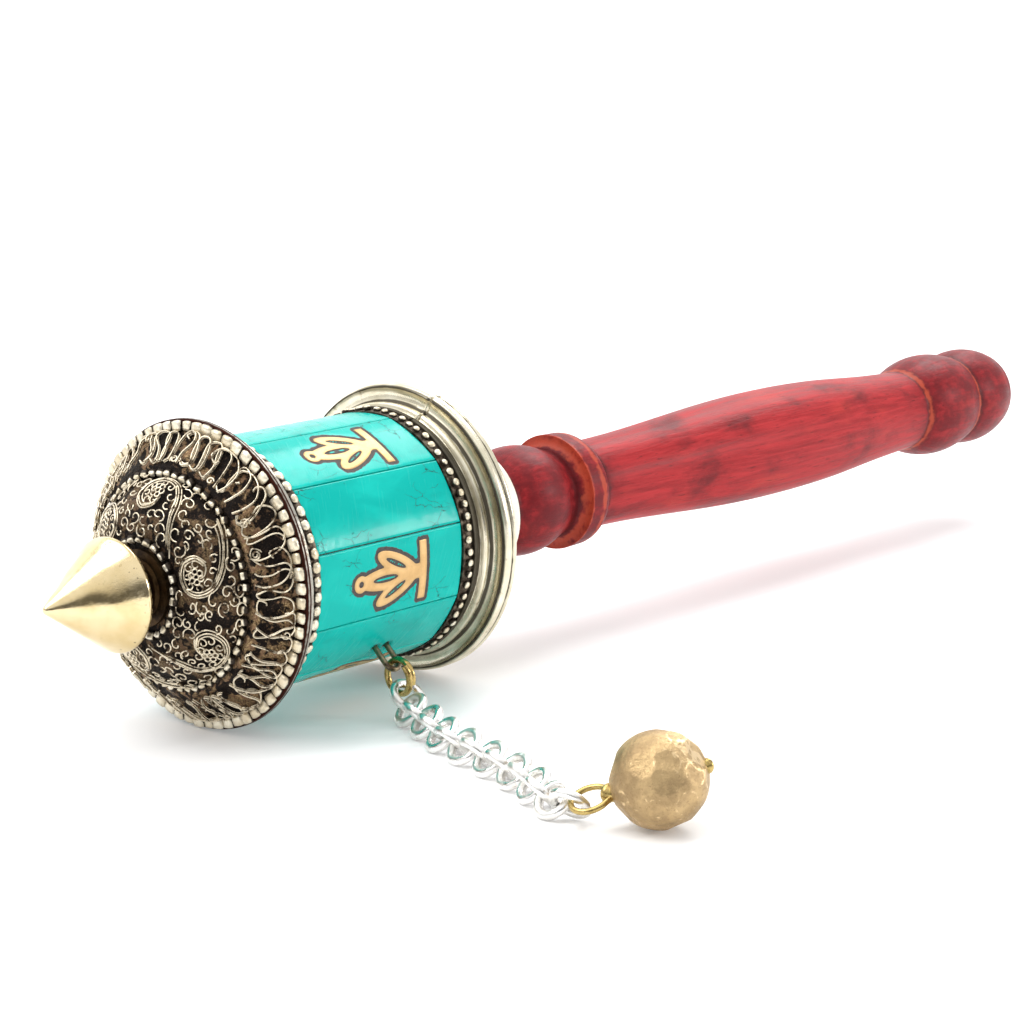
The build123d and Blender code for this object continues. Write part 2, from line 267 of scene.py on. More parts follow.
def flowPath(points, steps=6, closed=False):
    # a smooth line through points of any dimension
    points = [np.array(point, float) for point in points]
    if closed:
        points = [points[-1]] + points + points[:2]
    else:
        points = [2 * points[0] - points[1]] + points + [2 * points[-1] - points[-2]]
    line = []
    for a, b, c, d in zip(points, points[1:], points[2:], points[3:]):
        for step in range(steps):
            t = step / steps
            square, cube = 2 * a - 5 * b + 4 * c - d, 3 * b - a - 3 * c + d
            line.append(0.5 * (2 * b + (c - a) * t + square * t**2 + cube * t**3))
    if not closed:
        line.append(points[-2])
    return line


def softened(outline, reach, closed=True):
    # rounds the corners of an outline in the (station, radius) plane
    result = []
    count = len(outline)
    for index, corner in enumerate(outline):
        if not closed and index in (0, count - 1) or corner[1] < 1e-6:
            result.append(tuple(corner))
            continue
        here = np.array(corner, float)
        back = np.array(outline[index - 1], float) - here
        ahead = np.array(outline[(index + 1) % count], float) - here
        longBack, longAhead = np.linalg.norm(back), np.linalg.norm(ahead)
        bend = np.dot(back, ahead) / (longBack * longAhead)
        if bend < -0.93:
            result.append(tuple(corner))
            continue
        near = min(reach, 0.4 * longBack, 0.4 * longAhead)
        first, last = here + back / longBack * near, here + ahead / longAhead * near
        for t in (0, 0.25, 0.5, 0.75, 1):
            point = (1 - t) ** 2 * first + 2 * t * (1 - t) * here + t**2 * last
            result.append(tuple(point))
    return result


def drawWaves(rng, most, number):
    # random ripples round the axle: how many, phase and size
    return [(rng.randint(2, most), rng.uniform(0, 6.3), rng.uniform(0.3, 1)) for _ in range(number)]


def ripple(waves, angle):
    turn = math.radians(angle)
    return sum(size * math.sin(count * turn + phase) for count, phase, size in waves) / len(waves)


def apart(angle, other):
    # how far one angle is past another, from -180 to 180
    return (angle - other + 180) % 360 - 180


def closeMesh(mesh, work):
    bmesh.ops.recalc_face_normals(work, faces=work.faces)
    work.to_mesh(mesh)
    work.free()
    return mesh


def latheMesh(name, outline, segments=128, angles=None, shape=None):
    # turns an outline of (station, radius) round the axle; shape(station, radius, angle) may move a point
    angles = angles or [index * 360 / segments for index in range(segments)]
    mesh = bpy.data.meshes.new(name)
    work = bmesh.new()
    rings = []
    for station, radius in outline:
        if radius < 1e-6:
            rings.append([work.verts.new(onAxle(station))])
            continue
        ring = []
        for angle in angles:
            s, r = shape(station, radius, angle) if shape else (station, radius)
            ring.append(work.verts.new(onAxle(s, r, angle)))
        rings.append(ring)
    pairs = list(zip(rings, rings[1:]))
    if len(rings[0]) > 1 and len(rings[-1]) > 1:
        pairs.append((rings[-1], rings[0]))
    for first, second in pairs:
        if len(first) == 1 and len(second) == 1:
            continue
        for index in range(len(angles)):
            after = (index + 1) % len(angles)
            if len(first) == 1:
                work.faces.new((first[0], second[index], second[after]))
            elif len(second) == 1:
                work.faces.new((first[index], second[0], first[after]))
            else:
                work.faces.new((first[index], second[index], second[after], first[after]))
    return closeMesh(mesh, work)


def addPiece(name, mesh, body, stands=(), finish=None, crease=40):
    if finish:
        mesh.materials.clear()
        mesh.materials.append(finish)
    mesh.shade_smooth()
    if crease:
        mesh.set_sharp_from_angle(angle=math.radians(crease))
    piece = bpy.data.objects.new(name, mesh)
    scene.collection.objects.link(piece)
    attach(piece, body)
    if stands:
        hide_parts(*stands)
    return piece


def startTree(name, inputs):
    tree = bpy.data.node_groups.new(name, "GeometryNodeTree")
    tree.interface.new_socket("Geometry", in_out="OUTPUT", socket_type="NodeSocketGeometry")
    tree.interface.new_socket("Geometry", in_out="INPUT", socket_type="NodeSocketGeometry")
    for label, value in inputs.items():
        kind = {int: "Int", float: "Float", tuple: "Vector", type(None): "Material"}[type(value)]
        socket = tree.interface.new_socket(label, in_out="INPUT", socket_type="NodeSocket" + kind)
        if value is not None:
            socket.default_value = value
    entry = tree.nodes.new("NodeGroupInput").outputs
    return tree, {socket.name: socket for socket in entry if socket.name}


def endTree(tree, geometry, finish):
    real = geo(tree, "RealizeInstances", {0: geometry})
    smooth = geo(tree, "SetShadeSmooth", {0: real})
    done = geo(tree, "SetMaterial", {"Geometry": smooth, "Material": finish})
    exitNode = tree.nodes.new("NodeGroupOutput")
    tree.links.new(done, exitNode.inputs[0])


def growMesh(name, tree, settings, lines=None):
    # runs a geometry tree on an empty mesh, or on lines of points, and keeps the result as a plain mesh
    source = bpy.data.meshes.new(name)
    if lines:
        points, edges = [], []
        for line, closed in lines:
            first = len(points)
            points += [tuple(point) for point in line]
            edges += [(first + index, first + index + 1) for index in range(len(line) - 1)]
            if closed:
                edges.append((len(points) - 1, first))
        source.from_pydata(points, edges, [])
    holder = bpy.data.objects.new(name, source)
    scene.collection.objects.link(holder)
    modifier = holder.modifiers.new(name, "NODES")
    modifier.node_group = tree
    for item in tree.interface.items_tree:
        if item.item_type == "SOCKET" and item.in_out == "INPUT" and item.name in settings:
            value = settings[item.name]
            modifier[item.identifier] = list(value) if isinstance(value, tuple) else value
    graph = bpy.context.evaluated_depsgraph_get()
    mesh = bpy.data.meshes.new_from_object(
        holder.evaluated_get(graph), preserve_all_data_layers=True, depsgraph=graph)
    holder.modifiers.remove(modifier)
    bpy.data.objects.remove(holder)
    return mesh


# studio
studio = {
    "floorSize": 8.0,
    "floorWhite": 0.88,
    "floorGlow": 0.13,  # the floor paper glows a little: painted light that lifts its shadows and lights the object from below
    "overhead": 1.1,  # brightness of the sky straight above
    "horizon": 0.62,
    "front": 0.16,  # brightness of the dark room that polished metal reflects
    "behind": 0.9,  # extra brightness of the wall behind the object, for reflections
    "sun": 1.2,
    "sunSpread": 50,
    "boxes": [  # name, way from the object, distance, size, power
        ("rightBox", (0.65, 0.18, 0.74), 1.3, 0.5, 6.0),
        ("frontBox", (0.65, -0.70, 0.31), 1.3, 0.22, 4.5),
        ("leftBox", (-0.7, 0.3, 0.7), 1.3, 0.5, 3.0),
    ],
}


def makeStudio():
    world = bpy.data.worlds.new("studio")
    scene.world = world
    world.use_nodes = True
    tree = world.node_tree
    sky = tree.nodes["Background"]
    way = addNode(tree, "ShaderNodeTexCoord").outputs["Generated"]
    parts = addNode(tree, "ShaderNodeSeparateXYZ", {0: way}).outputs
    height = fade(tree, parts[2], 0.05, 0.85, studio["horizon"], studio["overhead"])
    side = reckon(tree, "MULTIPLY_ADD", parts[0], 0.45, times(tree, parts[1], 0.9))
    ahead = fade(tree, side, -0.75, -0.45, 1.0, 0.0)
    low = fade(tree, parts[2], 0.35, 0.6, 1.0, 0.0)
    dark = times(tree, ahead, low)
    mirrored = paint(tree, "Mix", {0: dark, 2: height, 3: studio["front"]})
    behind = times(tree, fade(tree, side, 0.35, 0.75), fade(tree, parts[2], 0.5, 0.75, 1.0, 0.0))
    mirrored = reckon(tree, "MULTIPLY_ADD", behind, studio["behind"], mirrored)
    path = addNode(tree, "ShaderNodeLightPath").outputs
    level = paint(tree, "Mix", {0: path["Is Glossy Ray"], 2: height, 3: mirrored})
    direct = path["Is Camera Ray"]
    level = paint(tree, "Mix", {0: direct, 2: level, 3: 1.02})
    tree.links.new(level, sky.inputs["Strength"])
    sky.inputs["Color"].default_value = (1, 1, 1, 1)
    mesh = bpy.data.meshes.new("floor")
    half = studio["floorSize"] / 2
    mesh.from_pydata(
        [(-half, -half, 0), (half, -half, 0), (half, half, 0), (-half, half, 0)], [], [(0, 1, 2, 3)])
    floor = bpy.data.objects.new("floor", mesh)
    scene.collection.objects.link(floor)
    floor.location.z = -0.0002
    material, tree, shader = newFinish("floorPaper")
    place = addNode(tree, "ShaderNodeTexCoord").outputs["Object"]
    mottle = paint(tree, "TexNoise", {"Vector": place, "Scale": 9.0})
    white = studio["floorWhite"]
    colour = mixColours(tree, mottle, (white, white, white), (white * 0.985, white * 0.985, white * 0.99))
    joinShader(tree, shader, colour=colour, rough=0.75)
    # painted light: the floor paper glows by itself
    shader.inputs["Emission Color"].default_value = (1, 1, 1, 1)
    shader.inputs["Emission Strength"].default_value = studio["floorGlow"]
    mesh.materials.append(material)
    for name, way, distance, size, power in studio["boxes"]:
        light = bpy.data.lights.new(name, "AREA")
        light.size = size
        light.energy = power
        lamp = bpy.data.objects.new(name, light)
        scene.collection.objects.link(lamp)
        lamp.location = Vector(way).normalized() * distance
        lamp.rotation_euler = (-Vector(way)).to_track_quat("-Z", "Y").to_euler()
    sun = bpy.data.lights.new("softSun", "SUN")
    sun.energy = studio["sun"]
    sun.angle = math.radians(studio["sunSpread"])
    lamp = bpy.data.objects.new("softSun", sun)
    scene.collection.objects.link(lamp)
    lamp.rotation_euler = Vector((0.25, -0.35, -0.9)).to_track_quat("-Z", "Y").to_euler()
    scene.view_settings.view_transform = "Standard"


makeStudio()
print("studio built")

# beaded wires: rows of soldered beads, each a small pillow with painted shade at its foot
beadRows = {
    "rimPearls": dict(
        stands="rim_beads", count=65, station=-0.65, ring=24.8, size=(1.95, 2.1, 1.35),
        tip=(0.3, 0.0, -0.95), round=0.45, turn=0.0, jitter=0.08, tilt=0.09),
    "domePearls": dict(
        stands="dome_beads", count=60, station=-6.3, ring=17.9, size=(1.1, 1.2, 1.15),
        tip=(0.5, 0.0, -0.85), round=0.3, turn=0.785, jitter=0.09, tilt=0.32),
    "collarPearls": dict(
        stands="collar_beads", count=26, station=-12.55, ring=8.0, size=(1.2, 1.3, 1.3),
        tip=(0.5, 0.0, -0.85), round=0.35, turn=0.785, jitter=0.1, tilt=0.3),
    "upperPearls": dict(
        stands="upper_beads", count=58, station=5.5, ring=21.95, size=(1.2, 1.8, 1.65),
        tip=(1.0, 0.0, 0.0), round=0.95, turn=0.0, jitter=0.12, tilt=0.12),
    "lowerPearls": dict(
        stands="lower_beads", count=68, station=41.8, ring=21.85, size=(1.1, 1.35, 1.3),
        tip=(1.0, 0.0, 0.0), round=0.95, turn=0.0, jitter=0.2, tilt=0.14),
}


def pearlSilver():
    material, tree, shader = newFinish("pearlSilver")
    _, place = axleSpace(tree)
    # painted shade: each bead is painted dark at its foot, where it meets the sheet, and bright towards its
    # lit side
    tip = stored(tree, "tip")
    edge = ragged(tree, grains(tree, place, 0.9, 5.0), 0.5, tip)
    unshaded = fade(tree, edge, 0.16, 0.34)
    tone = grains(tree, place, 4.0, 3.0)
    bright = blend(tree, tone, 0.35, 0.65, (0.90, 0.83, 0.67), (0.70, 0.60, 0.42))
    colour = mixColours(tree, unshaded, (0.035, 0.024, 0.016), bright)
    fine = fade(tree, grains(tree, place, 0.4, 4.0), 0.6, 0.78, 0.0, 0.6)
    colour = mixColours(tree, fine, colour, (0.3, 0.23, 0.14))
    rough = fade(tree, unshaded, 0.0, 1.0, 0.6, 0.3)
    bump = relief(tree, grains(tree, place, 0.6, 4.0), 0.08)
    joinShader(tree, shader, colour=colour, rough=rough, metal=0.55, normal=bump)
    return material


def pearlTree():
    tree, given = startTree(
        "pearlRow", {"count": 60, "ringRadius": 0.02, "beadSize": (0.001, 0.001, 0.001), "roundness": 0.7,
        "turn": 0.0, "jitter": 0.1, "tilt": 0.1, "litSideAxis": (0.0, 0.0, 1.0), "middle": (0.0, 0.0, 0.0),
        "seed": 1, "finish": None})
    cube = geo(tree, "MeshCube", {"Size": (1, 1, 1), "Vertices X": 4, "Vertices Y": 4, "Vertices Z": 4})
    place = geo(tree, "InputPosition")
    unit = paint(tree, "VectorMath", {0: place}, operation="NORMALIZE")
    ball = paint(tree, "VectorMath", {0: unit, "Scale": 0.55}, operation="SCALE")
    pillow = addNode(
        tree, "ShaderNodeMix", {0: given["roundness"], 4: place, 5: ball}, data_type="VECTOR").outputs[1]
    shaped = geo(tree, "SetPosition", {"Geometry": cube, "Position": pillow})
    # how far each point lies towards the bead's lit side, for the painted shade at its foot
    wires = {0: place, 1: given["litSideAxis"]}
    high = addNode(tree, "ShaderNodeVectorMath", wires, operation="DOT_PRODUCT").outputs["Value"]
    wires = {"Geometry": shaped, "Name": "tip", "Value": high}
    marked = geo(tree, "StoreNamedAttribute", wires, data_type="FLOAT", domain="POINT")
    turned = paint(tree, "CombineXYZ", {1: given["turn"]})
    pearl = geo(tree, "Transform", {"Geometry": marked, "Rotation": turned})
    ring = geo(tree, "CurvePrimitiveCircle", {"Resolution": given["count"], "Radius": given["ringRadius"]})
    dots = geo(tree, "CurveToPoints", {"Curve": ring}, mode="EVALUATED")
    reach = times(tree, given["jitter"], mm)
    wires = {0: times(tree, reach, -1.0), 1: reach, "Seed": given["seed"]}
    stray = addNode(tree, "FunctionNodeRandomValue", wires, data_type="FLOAT_VECTOR").outputs[0]
    dots = geo(tree, "SetPosition", {"Geometry": dots, "Offset": stray})
    index = geo(tree, "InputIndex")
    share = reckon(tree, "DIVIDE", index, given["count"])
    euler = paint(tree, "CombineXYZ", {2: times(tree, share, 2 * math.pi)})
    aim = addNode(tree, "FunctionNodeEulerToRotation", {0: euler}).outputs[0]
    grown = addNode(
        tree, "FunctionNodeRandomValue", {2: 0.86, 3: 1.1, "Seed": given["seed"]},
        data_type="FLOAT").outputs[1]
    size = paint(tree, "VectorMath", {0: given["beadSize"], "Scale": grown}, operation="SCALE")
    row = geo(tree, "InstanceOnPoints", {"Points": dots, "Instance": pearl, "Rotation": aim, "Scale": size})
    wires = {0: times(tree, given["tilt"], -1.0), 1: given["tilt"], "Seed": given["seed"]}
    lean = addNode(tree, "FunctionNodeRandomValue", wires, data_type="FLOAT_VECTOR").outputs[0]
    row = geo(tree, "RotateInstances", {"Instances": row, "Rotation": lean})
    row = geo(
        tree, "Transform",
        {"Geometry": row, "Translation": given["middle"], "Rotation": (0, math.pi / 2, 0)})
    endTree(tree, row, given["finish"])
    return tree


def makeBeadRows():
    finish = pearlSilver()
    tree = pearlTree()
    for seed, (name, row) in enumerate(beadRows.items()):
        settings = {
            "count": row["count"], "ringRadius": row["ring"] * mm,
            "beadSize": tuple(part * mm for part in row["size"]), "roundness": row["round"],
            "turn": row["turn"], "jitter": row["jitter"], "tilt": row["tilt"], "litSideAxis": row["tip"],
            "middle": tuple(onAxle(row["station"])), "seed": seed + 3, "finish": finish}
        addPiece(name, growMesh(name, tree, settings), "wheel", [row["stands"]], crease=0)


makeBeadRows()
print("beaded wires made")

# lid: rim plate, stepped cone and dome, blackened between the wires
lid = {
    "waviness": 0.06,  # mm, how uneven the hand-beaten sheet is
    "coneSegments": 220,
    "coneRough": 0.16,  # mm, solder lumps on the cone
}


def lidSilver():
    return metalFinish(
        "lidSilver", (0.40, 0.38, 0.33), (0.13, 0.09, 0.06), patch=2.0, rough=(0.25, 0.5), lumps=0.06,
        grooves=[("station", 0.45, 0.5), ("station", 3.2, 1.2), ("radius", 23.4, 0.9),
        ("station", -0.55, 0.4)], soot=(0.045, 0.014, 0.009))


def blackenedSheet():
    # soot-black metal with grainy copper-coloured solder showing in patches
    material, tree, shader = newFinish("blackenedSheet")
    space, place = axleSpace(tree)
    lump = grains(tree, place, 3.6, 3.0, 0.5, twist=0.6)
    fine = grains(tree, place, 0.32, 4.0, 0.7)
    middle = grains(tree, place, 1.1, 4.0, 0.6)
    cover = ragged(tree, middle, 0.6, lump)
    patch = fade(tree, cover, 0.5, 0.6)
    onCap = fade(tree, space["radius"], 17.5, 19.0, 0.55, 1.0)
    patch = times(tree, patch, onCap)
    copper = blend(tree, fine, 0.35, 0.7, (0.08, 0.046, 0.022), (0.62, 0.44, 0.23))
    pink = blend(tree, middle, 0.4, 0.7, copper, (0.24, 0.14, 0.085))
    soot = blend(tree, fine, 0.5, 0.8, (0.007, 0.004, 0.003), (0.085, 0.05, 0.028))
    colour = mixColours(tree, patch, soot, pink)
    height = reckon(tree, "MULTIPLY_ADD", fine, 0.6, times(tree, cover, 1.5))
    rough = fade(tree, patch, 0.0, 1.0, 0.62, 0.42)
    metal = fade(tree, patch, 0.0, 1.0, 0.3, 0.8)
    joinShader(tree, shader, colour=colour, rough=rough, metal=metal, normal=relief(tree, height, 0.3))
    shader.inputs["Specular IOR Level"].default_value = 0.2
    return material


def makeLid():
    rng = random.Random(4)
    waves = drawWaves(rng, 9, 6)

    def wobble(station, radius, angle):
        shift = ripple(waves, angle) * lid["waviness"]
        if radius < 20:
            return station, radius
        return station + shift * 0.7, radius - abs(shift)

    plate = softened(
        [(-0.6, 4.0), (-0.6, 25.2), (-0.55, 25.8), (-0.3, 26.0), (0.35, 26.0), (0.55, 25.8), (0.55, 24.5),
        (1.1, 24.5), (1.1, 25.1), (1.8, 25.1), (1.8, 23.6), (2.1, 23.4), (2.4, 22.3), (4.4, 21.9),
        (4.4, 19.45), (8.0, 19.45), (8.0, 18.65), (0.4, 18.65), (0.4, 4.0)], 0.15)
    addPiece(
        "rimPlate", latheMesh("rimPlate", plate, 200, shape=wobble), "wheel",
        ["lid_plate"], lidSilver())
    soot = blackenedSheet()
    lumps = [
        (rng.uniform(0, 360), rng.uniform(19.4, 23.8), rng.uniform(0.8, 1.7), rng.uniform(-1.2, 3.0))
        for _ in range(260)]

    def rough(station, radius, angle):
        if radius < 19.2 or radius > 23.9 or radius - station < 24.4:
            return station, radius
        lift = 0.0
        for turn, reach, size, strength in lumps:
            across = apart(angle, turn)
            span = math.hypot(math.radians(across) * radius, (radius - reach) * 1.41)
            if span < size:
                lift += strength * (1 - (span / size) ** 2) ** 2 * lid["coneRough"]
        return station - lift * 0.7, radius + lift * 0.7

    face = [(-0.6 - 0.2 * step, 24.0 - 0.2 * step) for step in range(1, 25)]
    cone = [(-0.6, 24.0)] + face + [(-5.6, 19.0), (-5.6, 16.4), (-4.8, 16.4), (-4.8, 18.7), (-0.6, 22.9)]
    addPiece(
        "lidCone", latheMesh("lidCone", cone, lid["coneSegments"], shape=rough), "wheel",
        ["lid_cone"], soot, crease=60)
    bowl = [(-5.6, 17.2)] + arcPath((-5.6, 17.2), (-10.3, 13.6), (-12.0, 8.6), 20)
    bowl += [(-12.0, 4.0), (-11.2, 4.0), (-11.2, 8.4)]
    bowl += arcPath((-11.2, 8.4), (-9.6, 13.0), (-5.6, 16.4), 10)
    addPiece("lidDome", latheMesh("lidDome", bowl, 160), "wheel", ["dome"], soot)


makeLid()
print("lid made")

# filigree: fine wires standing on edge, hooked on the cone and curled into leaves on the dome
filigree = {
    "wire": 0.155,  # mm, radius
    "hooks": 60,  # round the cone, two wires each
    "leaves": 6,
    "seed": 11,
}


def wireTree():
    tree, given = startTree("bentWire", {"wireRadius": 0.0002, "sides": 6, "finish": None})
    line = geo(tree, "MeshToCurve", {"Mesh": tree.nodes["Group Input"].outputs[0]})
    section = geo(
        tree, "CurvePrimitiveCircle", {"Resolution": given["sides"], "Radius": given["wireRadius"]})
    tube = geo(tree, "CurveToMesh", {"Curve": line, "Profile Curve": section, "Fill Caps": True})
    endTree(tree, tube, given["finish"])
    return tree


def filigreeSilver():
    return metalFinish(
        "filigreeSilver", (0.76, 0.67, 0.51), (0.09, 0.06, 0.035), patch=1.4, cover=(0.5, 0.66),
        rough=(0.2, 0.4), lumps=0.02)


coneStep = 19.0  # mm, the cone's radius at its inner step
coneRise = 5.0  # mm, how much wider and nearer it gets up to the rim


def onCone(along, angle, lift):
    # along runs from 0 at the step to 1 at the rim
    reach = coneStep + coneRise * along
    return onAxle(-5.6 + coneRise * along - lift * 0.707, reach + lift * 0.707, angle)


domeFoot = 17.2  # mm, the dome's radius at its foot
domeNarrows = 7.6  # mm, how much narrower it gets up to the collar
domeWay = 11.6  # mm, the way up from foot to collar
domeArc = [(-5.6, 17.2)] + arcPath((-5.6, 17.2), (-10.3, 13.6), (-12.0, 8.6), 24)


def onDome(along, angle, lift):
    # along runs from 0 at the dome's foot to 1 at its collar
    spot = min(max(along, 0), 0.999) * 24
    first, second = domeArc[int(spot)], domeArc[int(spot) + 1]
    part = spot - int(spot)
    step = np.array(second) - np.array(first)
    place = np.array(first) + step * part
    out = np.array((step[1], -step[0])) / np.linalg.norm(step)
    return onAxle(place[0] + out[0] * lift, place[1] + out[1] * lift, angle)


def curl(middle, size, turns, start, hand=1, squash=1.0):
    # a scroll that tightens towards its middle
    count = max(6, int(turns * 12))
    line = []
    for step in range(count + 1):
        part = step / count
        turn = start + hand * part * turns * 2 * math.pi
        reach = size * (1 - 0.72 * part)
        line.append((middle[0] + reach * math.cos(turn), middle[1] + reach * squash * math.sin(turn)))
    return line


def grown(point, heart, grow):
    # a point moved from or towards a leaf's heart
    return tuple(centre + (place - centre) * grow for place, centre in zip(point, heart))


def makeConeWires(tree, finish):
    rng = random.Random(filigree["seed"])
    pitch = 360 / filigree["hooks"]
    # each hook as (along, across), from the step at 0 to the rim at 1
    hooks = [
        [(0.03, 0.0), (0.25, -0.05), (0.6, 0.1), (0.86, 0.32), (0.97, 0.62), (0.9, 0.95),
         (0.68, 1.0), (0.4, 0.78), (0.16, 0.7), (0.05, 0.9), (0.1, 1.15)],
        [(0.03, 0.1), (0.3, -0.12), (0.66, 0.05), (0.92, 0.5), (0.97, 1.05), (0.84, 1.5),
         (0.62, 1.62), (0.5, 1.4), (0.6, 1.2)],
        [(0.92, -0.25), (0.98, 0.12), (0.84, 0.42), (0.5, 0.36), (0.22, 0.5), (0.05, 0.85),
         (0.1, 1.25), (0.26, 1.28), (0.3, 1.05)],
        [(0.02, 0.2), (0.35, 0.3), (0.72, 0.2), (0.94, 0.42), (0.96, 0.9), (0.78, 1.1),
         (0.45, 0.95), (0.2, 1.02), (0.04, 1.3)],
        [(0.12, 0.45), (0.02, 0.2), (0.14, -0.05), (0.45, 0.05), (0.75, 0.42), (0.95, 0.6),
         (0.97, 1.0), (0.86, 1.22), (0.72, 1.05)],
    ]
    lines = []
    for number in range(filigree["hooks"]):
        shape = rng.choice(hooks)
        base = number * pitch + rng.uniform(-0.2, 0.2) * pitch
        sway = rng.uniform(-0.25, 0.25)
        points = []
        for along, across in shape:
            along += rng.uniform(-0.025, 0.025)
            across += rng.uniform(-0.08, 0.08) + sway * along
            lift = 0.95 + 0.3 * math.sin(across * 2.6 + number) + rng.uniform(-0.1, 0.1)
            points.append((0.03 + 0.92 * min(max(along, 0.0), 1.0), base + across * 1.5 * pitch, lift))
        for lower in (0.0, 0.32):
            laid = [onCone(along, angle, lift - lower) for along, angle, lift in points]
            lines.append((flowPath(laid, 5), False))
    for number in range(22):
        angle = rng.uniform(0, 360)
        along = rng.choice((rng.uniform(0.1, 0.22), rng.uniform(0.7, 0.85)))
        small = curl(
            (0, 0), rng.uniform(0.5, 0.95), rng.uniform(0.8, 1.5), rng.uniform(0, 6), rng.choice((-1, 1)))
        reach = coneStep + coneRise * along
        points = [onCone(along + y / 7.07, angle + math.degrees(x / reach), 1.0) for x, y in small]
        lines.append((points, False))
    settings = {"wireRadius": filigree["wire"] * mm, "sides": 6, "finish": finish}
    addPiece(
        "coneWires", growMesh("coneWires", tree, settings, lines), "wheel",
        ["cone_filigree"], crease=0)


def makeDomeWires(tree, finish):
    rng = random.Random(filigree["seed"] + 1)
    lines, taken = [], []

    def lay(points, turn, hand, lift=0.55, closed=False, steps=4):
        # x runs round the dome and y from its foot to its collar, in mm
        laid = []
        for x, y in flowPath(points, steps, closed) if steps else points:
            along = y / domeWay
            reach = domeFoot - domeNarrows * along
            laid.append(onDome(along, turn + hand * math.degrees(x / reach), lift))
            taken.append((turn + hand * math.degrees(x / reach), y, 0.75))
        lines.append((laid, closed))

    # one leaf has its head near the collar and its tail at the foot, the next the other way up
    headUp = [
        (7.2, 1.2), (5.0, 1.5), (2.4, 2.2), (-0.4, 3.3), (-2.9, 5.0), (-3.6, 7.4), (-2.4, 9.5),
        (0.0, 10.0), (1.9, 8.8), (2.1, 6.9), (0.8, 5.7), (-0.8, 6.2), (-1.0, 7.7), (0.0, 8.4)]
    headDown = [
        (-6.4, 10.2), (-5.2, 8.6), (-4.2, 6.4), (-3.6, 4.0), (-1.8, 2.0), (1.2, 1.5), (3.6, 2.8),
        (4.0, 5.2), (2.4, 6.8), (0.4, 6.2), (-0.1, 4.6), (1.0, 3.6), (2.0, 4.2)]
    pitch = 360 / filigree["leaves"]
    for number in range(filigree["leaves"]):
        turn = number * pitch + 20 + rng.uniform(-3, 3)
        up = number % 2 == 0
        leaf, heart = (headUp, (-0.7, 7.4)) if up else (headDown, (0.6, 4.0))
        for grow, lift in ((1.0, 0.85), (0.86, 0.7), (1.13, 0.7)):
            lay([grown(point, heart, grow) for point in leaf[:11]], turn, 1, lift)
        lay(leaf[8:], turn, 1, 0.9)
        lay([(x * 0.94, y * 0.96 + 0.3) for x, y in leaf[:5]], turn, 1, 1.0)
        # commas along the inside of the leaf
        for index in range(2, 10):
            x, y = leaf[index]
            way = math.atan2(y - heart[1], x - heart[0])
            size, turns = rng.uniform(0.65, 0.9), rng.uniform(0.7, 1.1)
            comma = curl(grown((x, y), heart, 0.62), size, turns, way, 1 if up else -1)
            lay(comma, turn, 1, rng.uniform(0.6, 1.0), steps=0)
        for petal in range(6):
            way = petal * 2 * math.pi / 6
            x, y = heart[0] + 0.8 * math.cos(way), heart[1] + 0.8 * math.sin(way)
            around = np.linspace(0, 2 * math.pi, 9)[:-1]
            ring = [(x + 0.42 * math.cos(t), y + 0.42 * math.sin(t)) for t in around]
            lay(ring, turn, 1, 1.15, True, 2)
    # scrolls fill all the ground that the leaves leave free
    scrolls = []
    for _ in range(2600):
        angle, y = rng.uniform(0, 360), rng.uniform(0.9, 10.8)
        reach = domeFoot - domeNarrows * y / domeWay
        around = taken + scrolls
        if any(math.hypot(math.radians(apart(angle, a)) * reach, y - b) <= room for a, b, room in around):
            continue
        size = rng.uniform(0.85, 1.5)
        scrolls.append((angle, y, size * 1.3))
        squash = rng.uniform(0.6, 1.0)
        turns, start, hand = rng.uniform(0.55, 1.15), rng.uniform(0, 6), rng.choice((-1, 1))
        scroll = curl((0, y), size, turns, start, hand, squash)
        lay(scroll, angle, 1, rng.uniform(0.5, 1.0), steps=0)
    settings = {"wireRadius": filigree["wire"] * 0.95 * mm, "sides": 6, "finish": finish}
    addPiece(
        "domeWires", growMesh("domeWires", tree, settings, lines), "wheel",
        ["dome_filigree"], crease=0)


bentWire = wireTree()
silverWire = filigreeSilver()
makeConeWires(bentWire, silverWire)
makeDomeWires(bentWire, silverWire)
print("filigree made")

# finial
finial = {"dent": 0.16, "darkBackFrom": -18.0}


def polishedBrass():
    material, tree, shader = newFinish("polishedBrass")
    space, place = axleSpace(tree)
    tone = grains(tree, place, 6.0, 3.0)
    colour = blend(tree, tone, 0.3, 0.7, (0.84, 0.69, 0.42), (0.72, 0.56, 0.29))
    stain = fade(tree, grains(tree, place, 2.2, 6.0, 0.7), 0.62, 0.76, 0.0, 0.75)
    colour = mixColours(tree, stain, colour, (0.42, 0.29, 0.11))
    pits = cells(tree, place, 1.1).outputs["Distance"]
    nearRim = fade(tree, space["station"], -23.0, -19.0, 0.0, 1.0)
    pit = times(tree, fade(tree, pits, 0.08, 0.2, 1.0, 0.0), nearRim)
    chance = fade(tree, grains(tree, place, 2.6, 2.0), 0.52, 0.6)
    pit = times(tree, pit, chance)
    colour = mixColours(tree, pit, colour, (0.09, 0.06, 0.03))
    # behind the cone's rim the brass is painted nearly black and rougher
    behind = fade(tree, space["station"], finial["darkBackFrom"] - 0.5, finial["darkBackFrom"] + 0.5)
    dull = blend(tree, tone, 0.4, 0.6, (0.02, 0.009, 0.005), (0.06, 0.03, 0.014))
    colour = mixColours(tree, behind, colour, dull)
    smear = grains(tree, place, 0.5, 4.0, stretch=(6, 1, 1))
    rough = reckon(tree, "MULTIPLY_ADD", behind, 0.28, fade(tree, smear, 0.3, 0.75, 0.1, 0.27))
    brushed = relief(tree, grains(tree, place, 0.25, 3.0, stretch=(8, 1, 1)), 0.01)
    joinShader(
        tree, shader, colour=colour, rough=rough, metal=1.0, normal=relief(tree, pit, 0.1, -0.5, brushed))
    return material


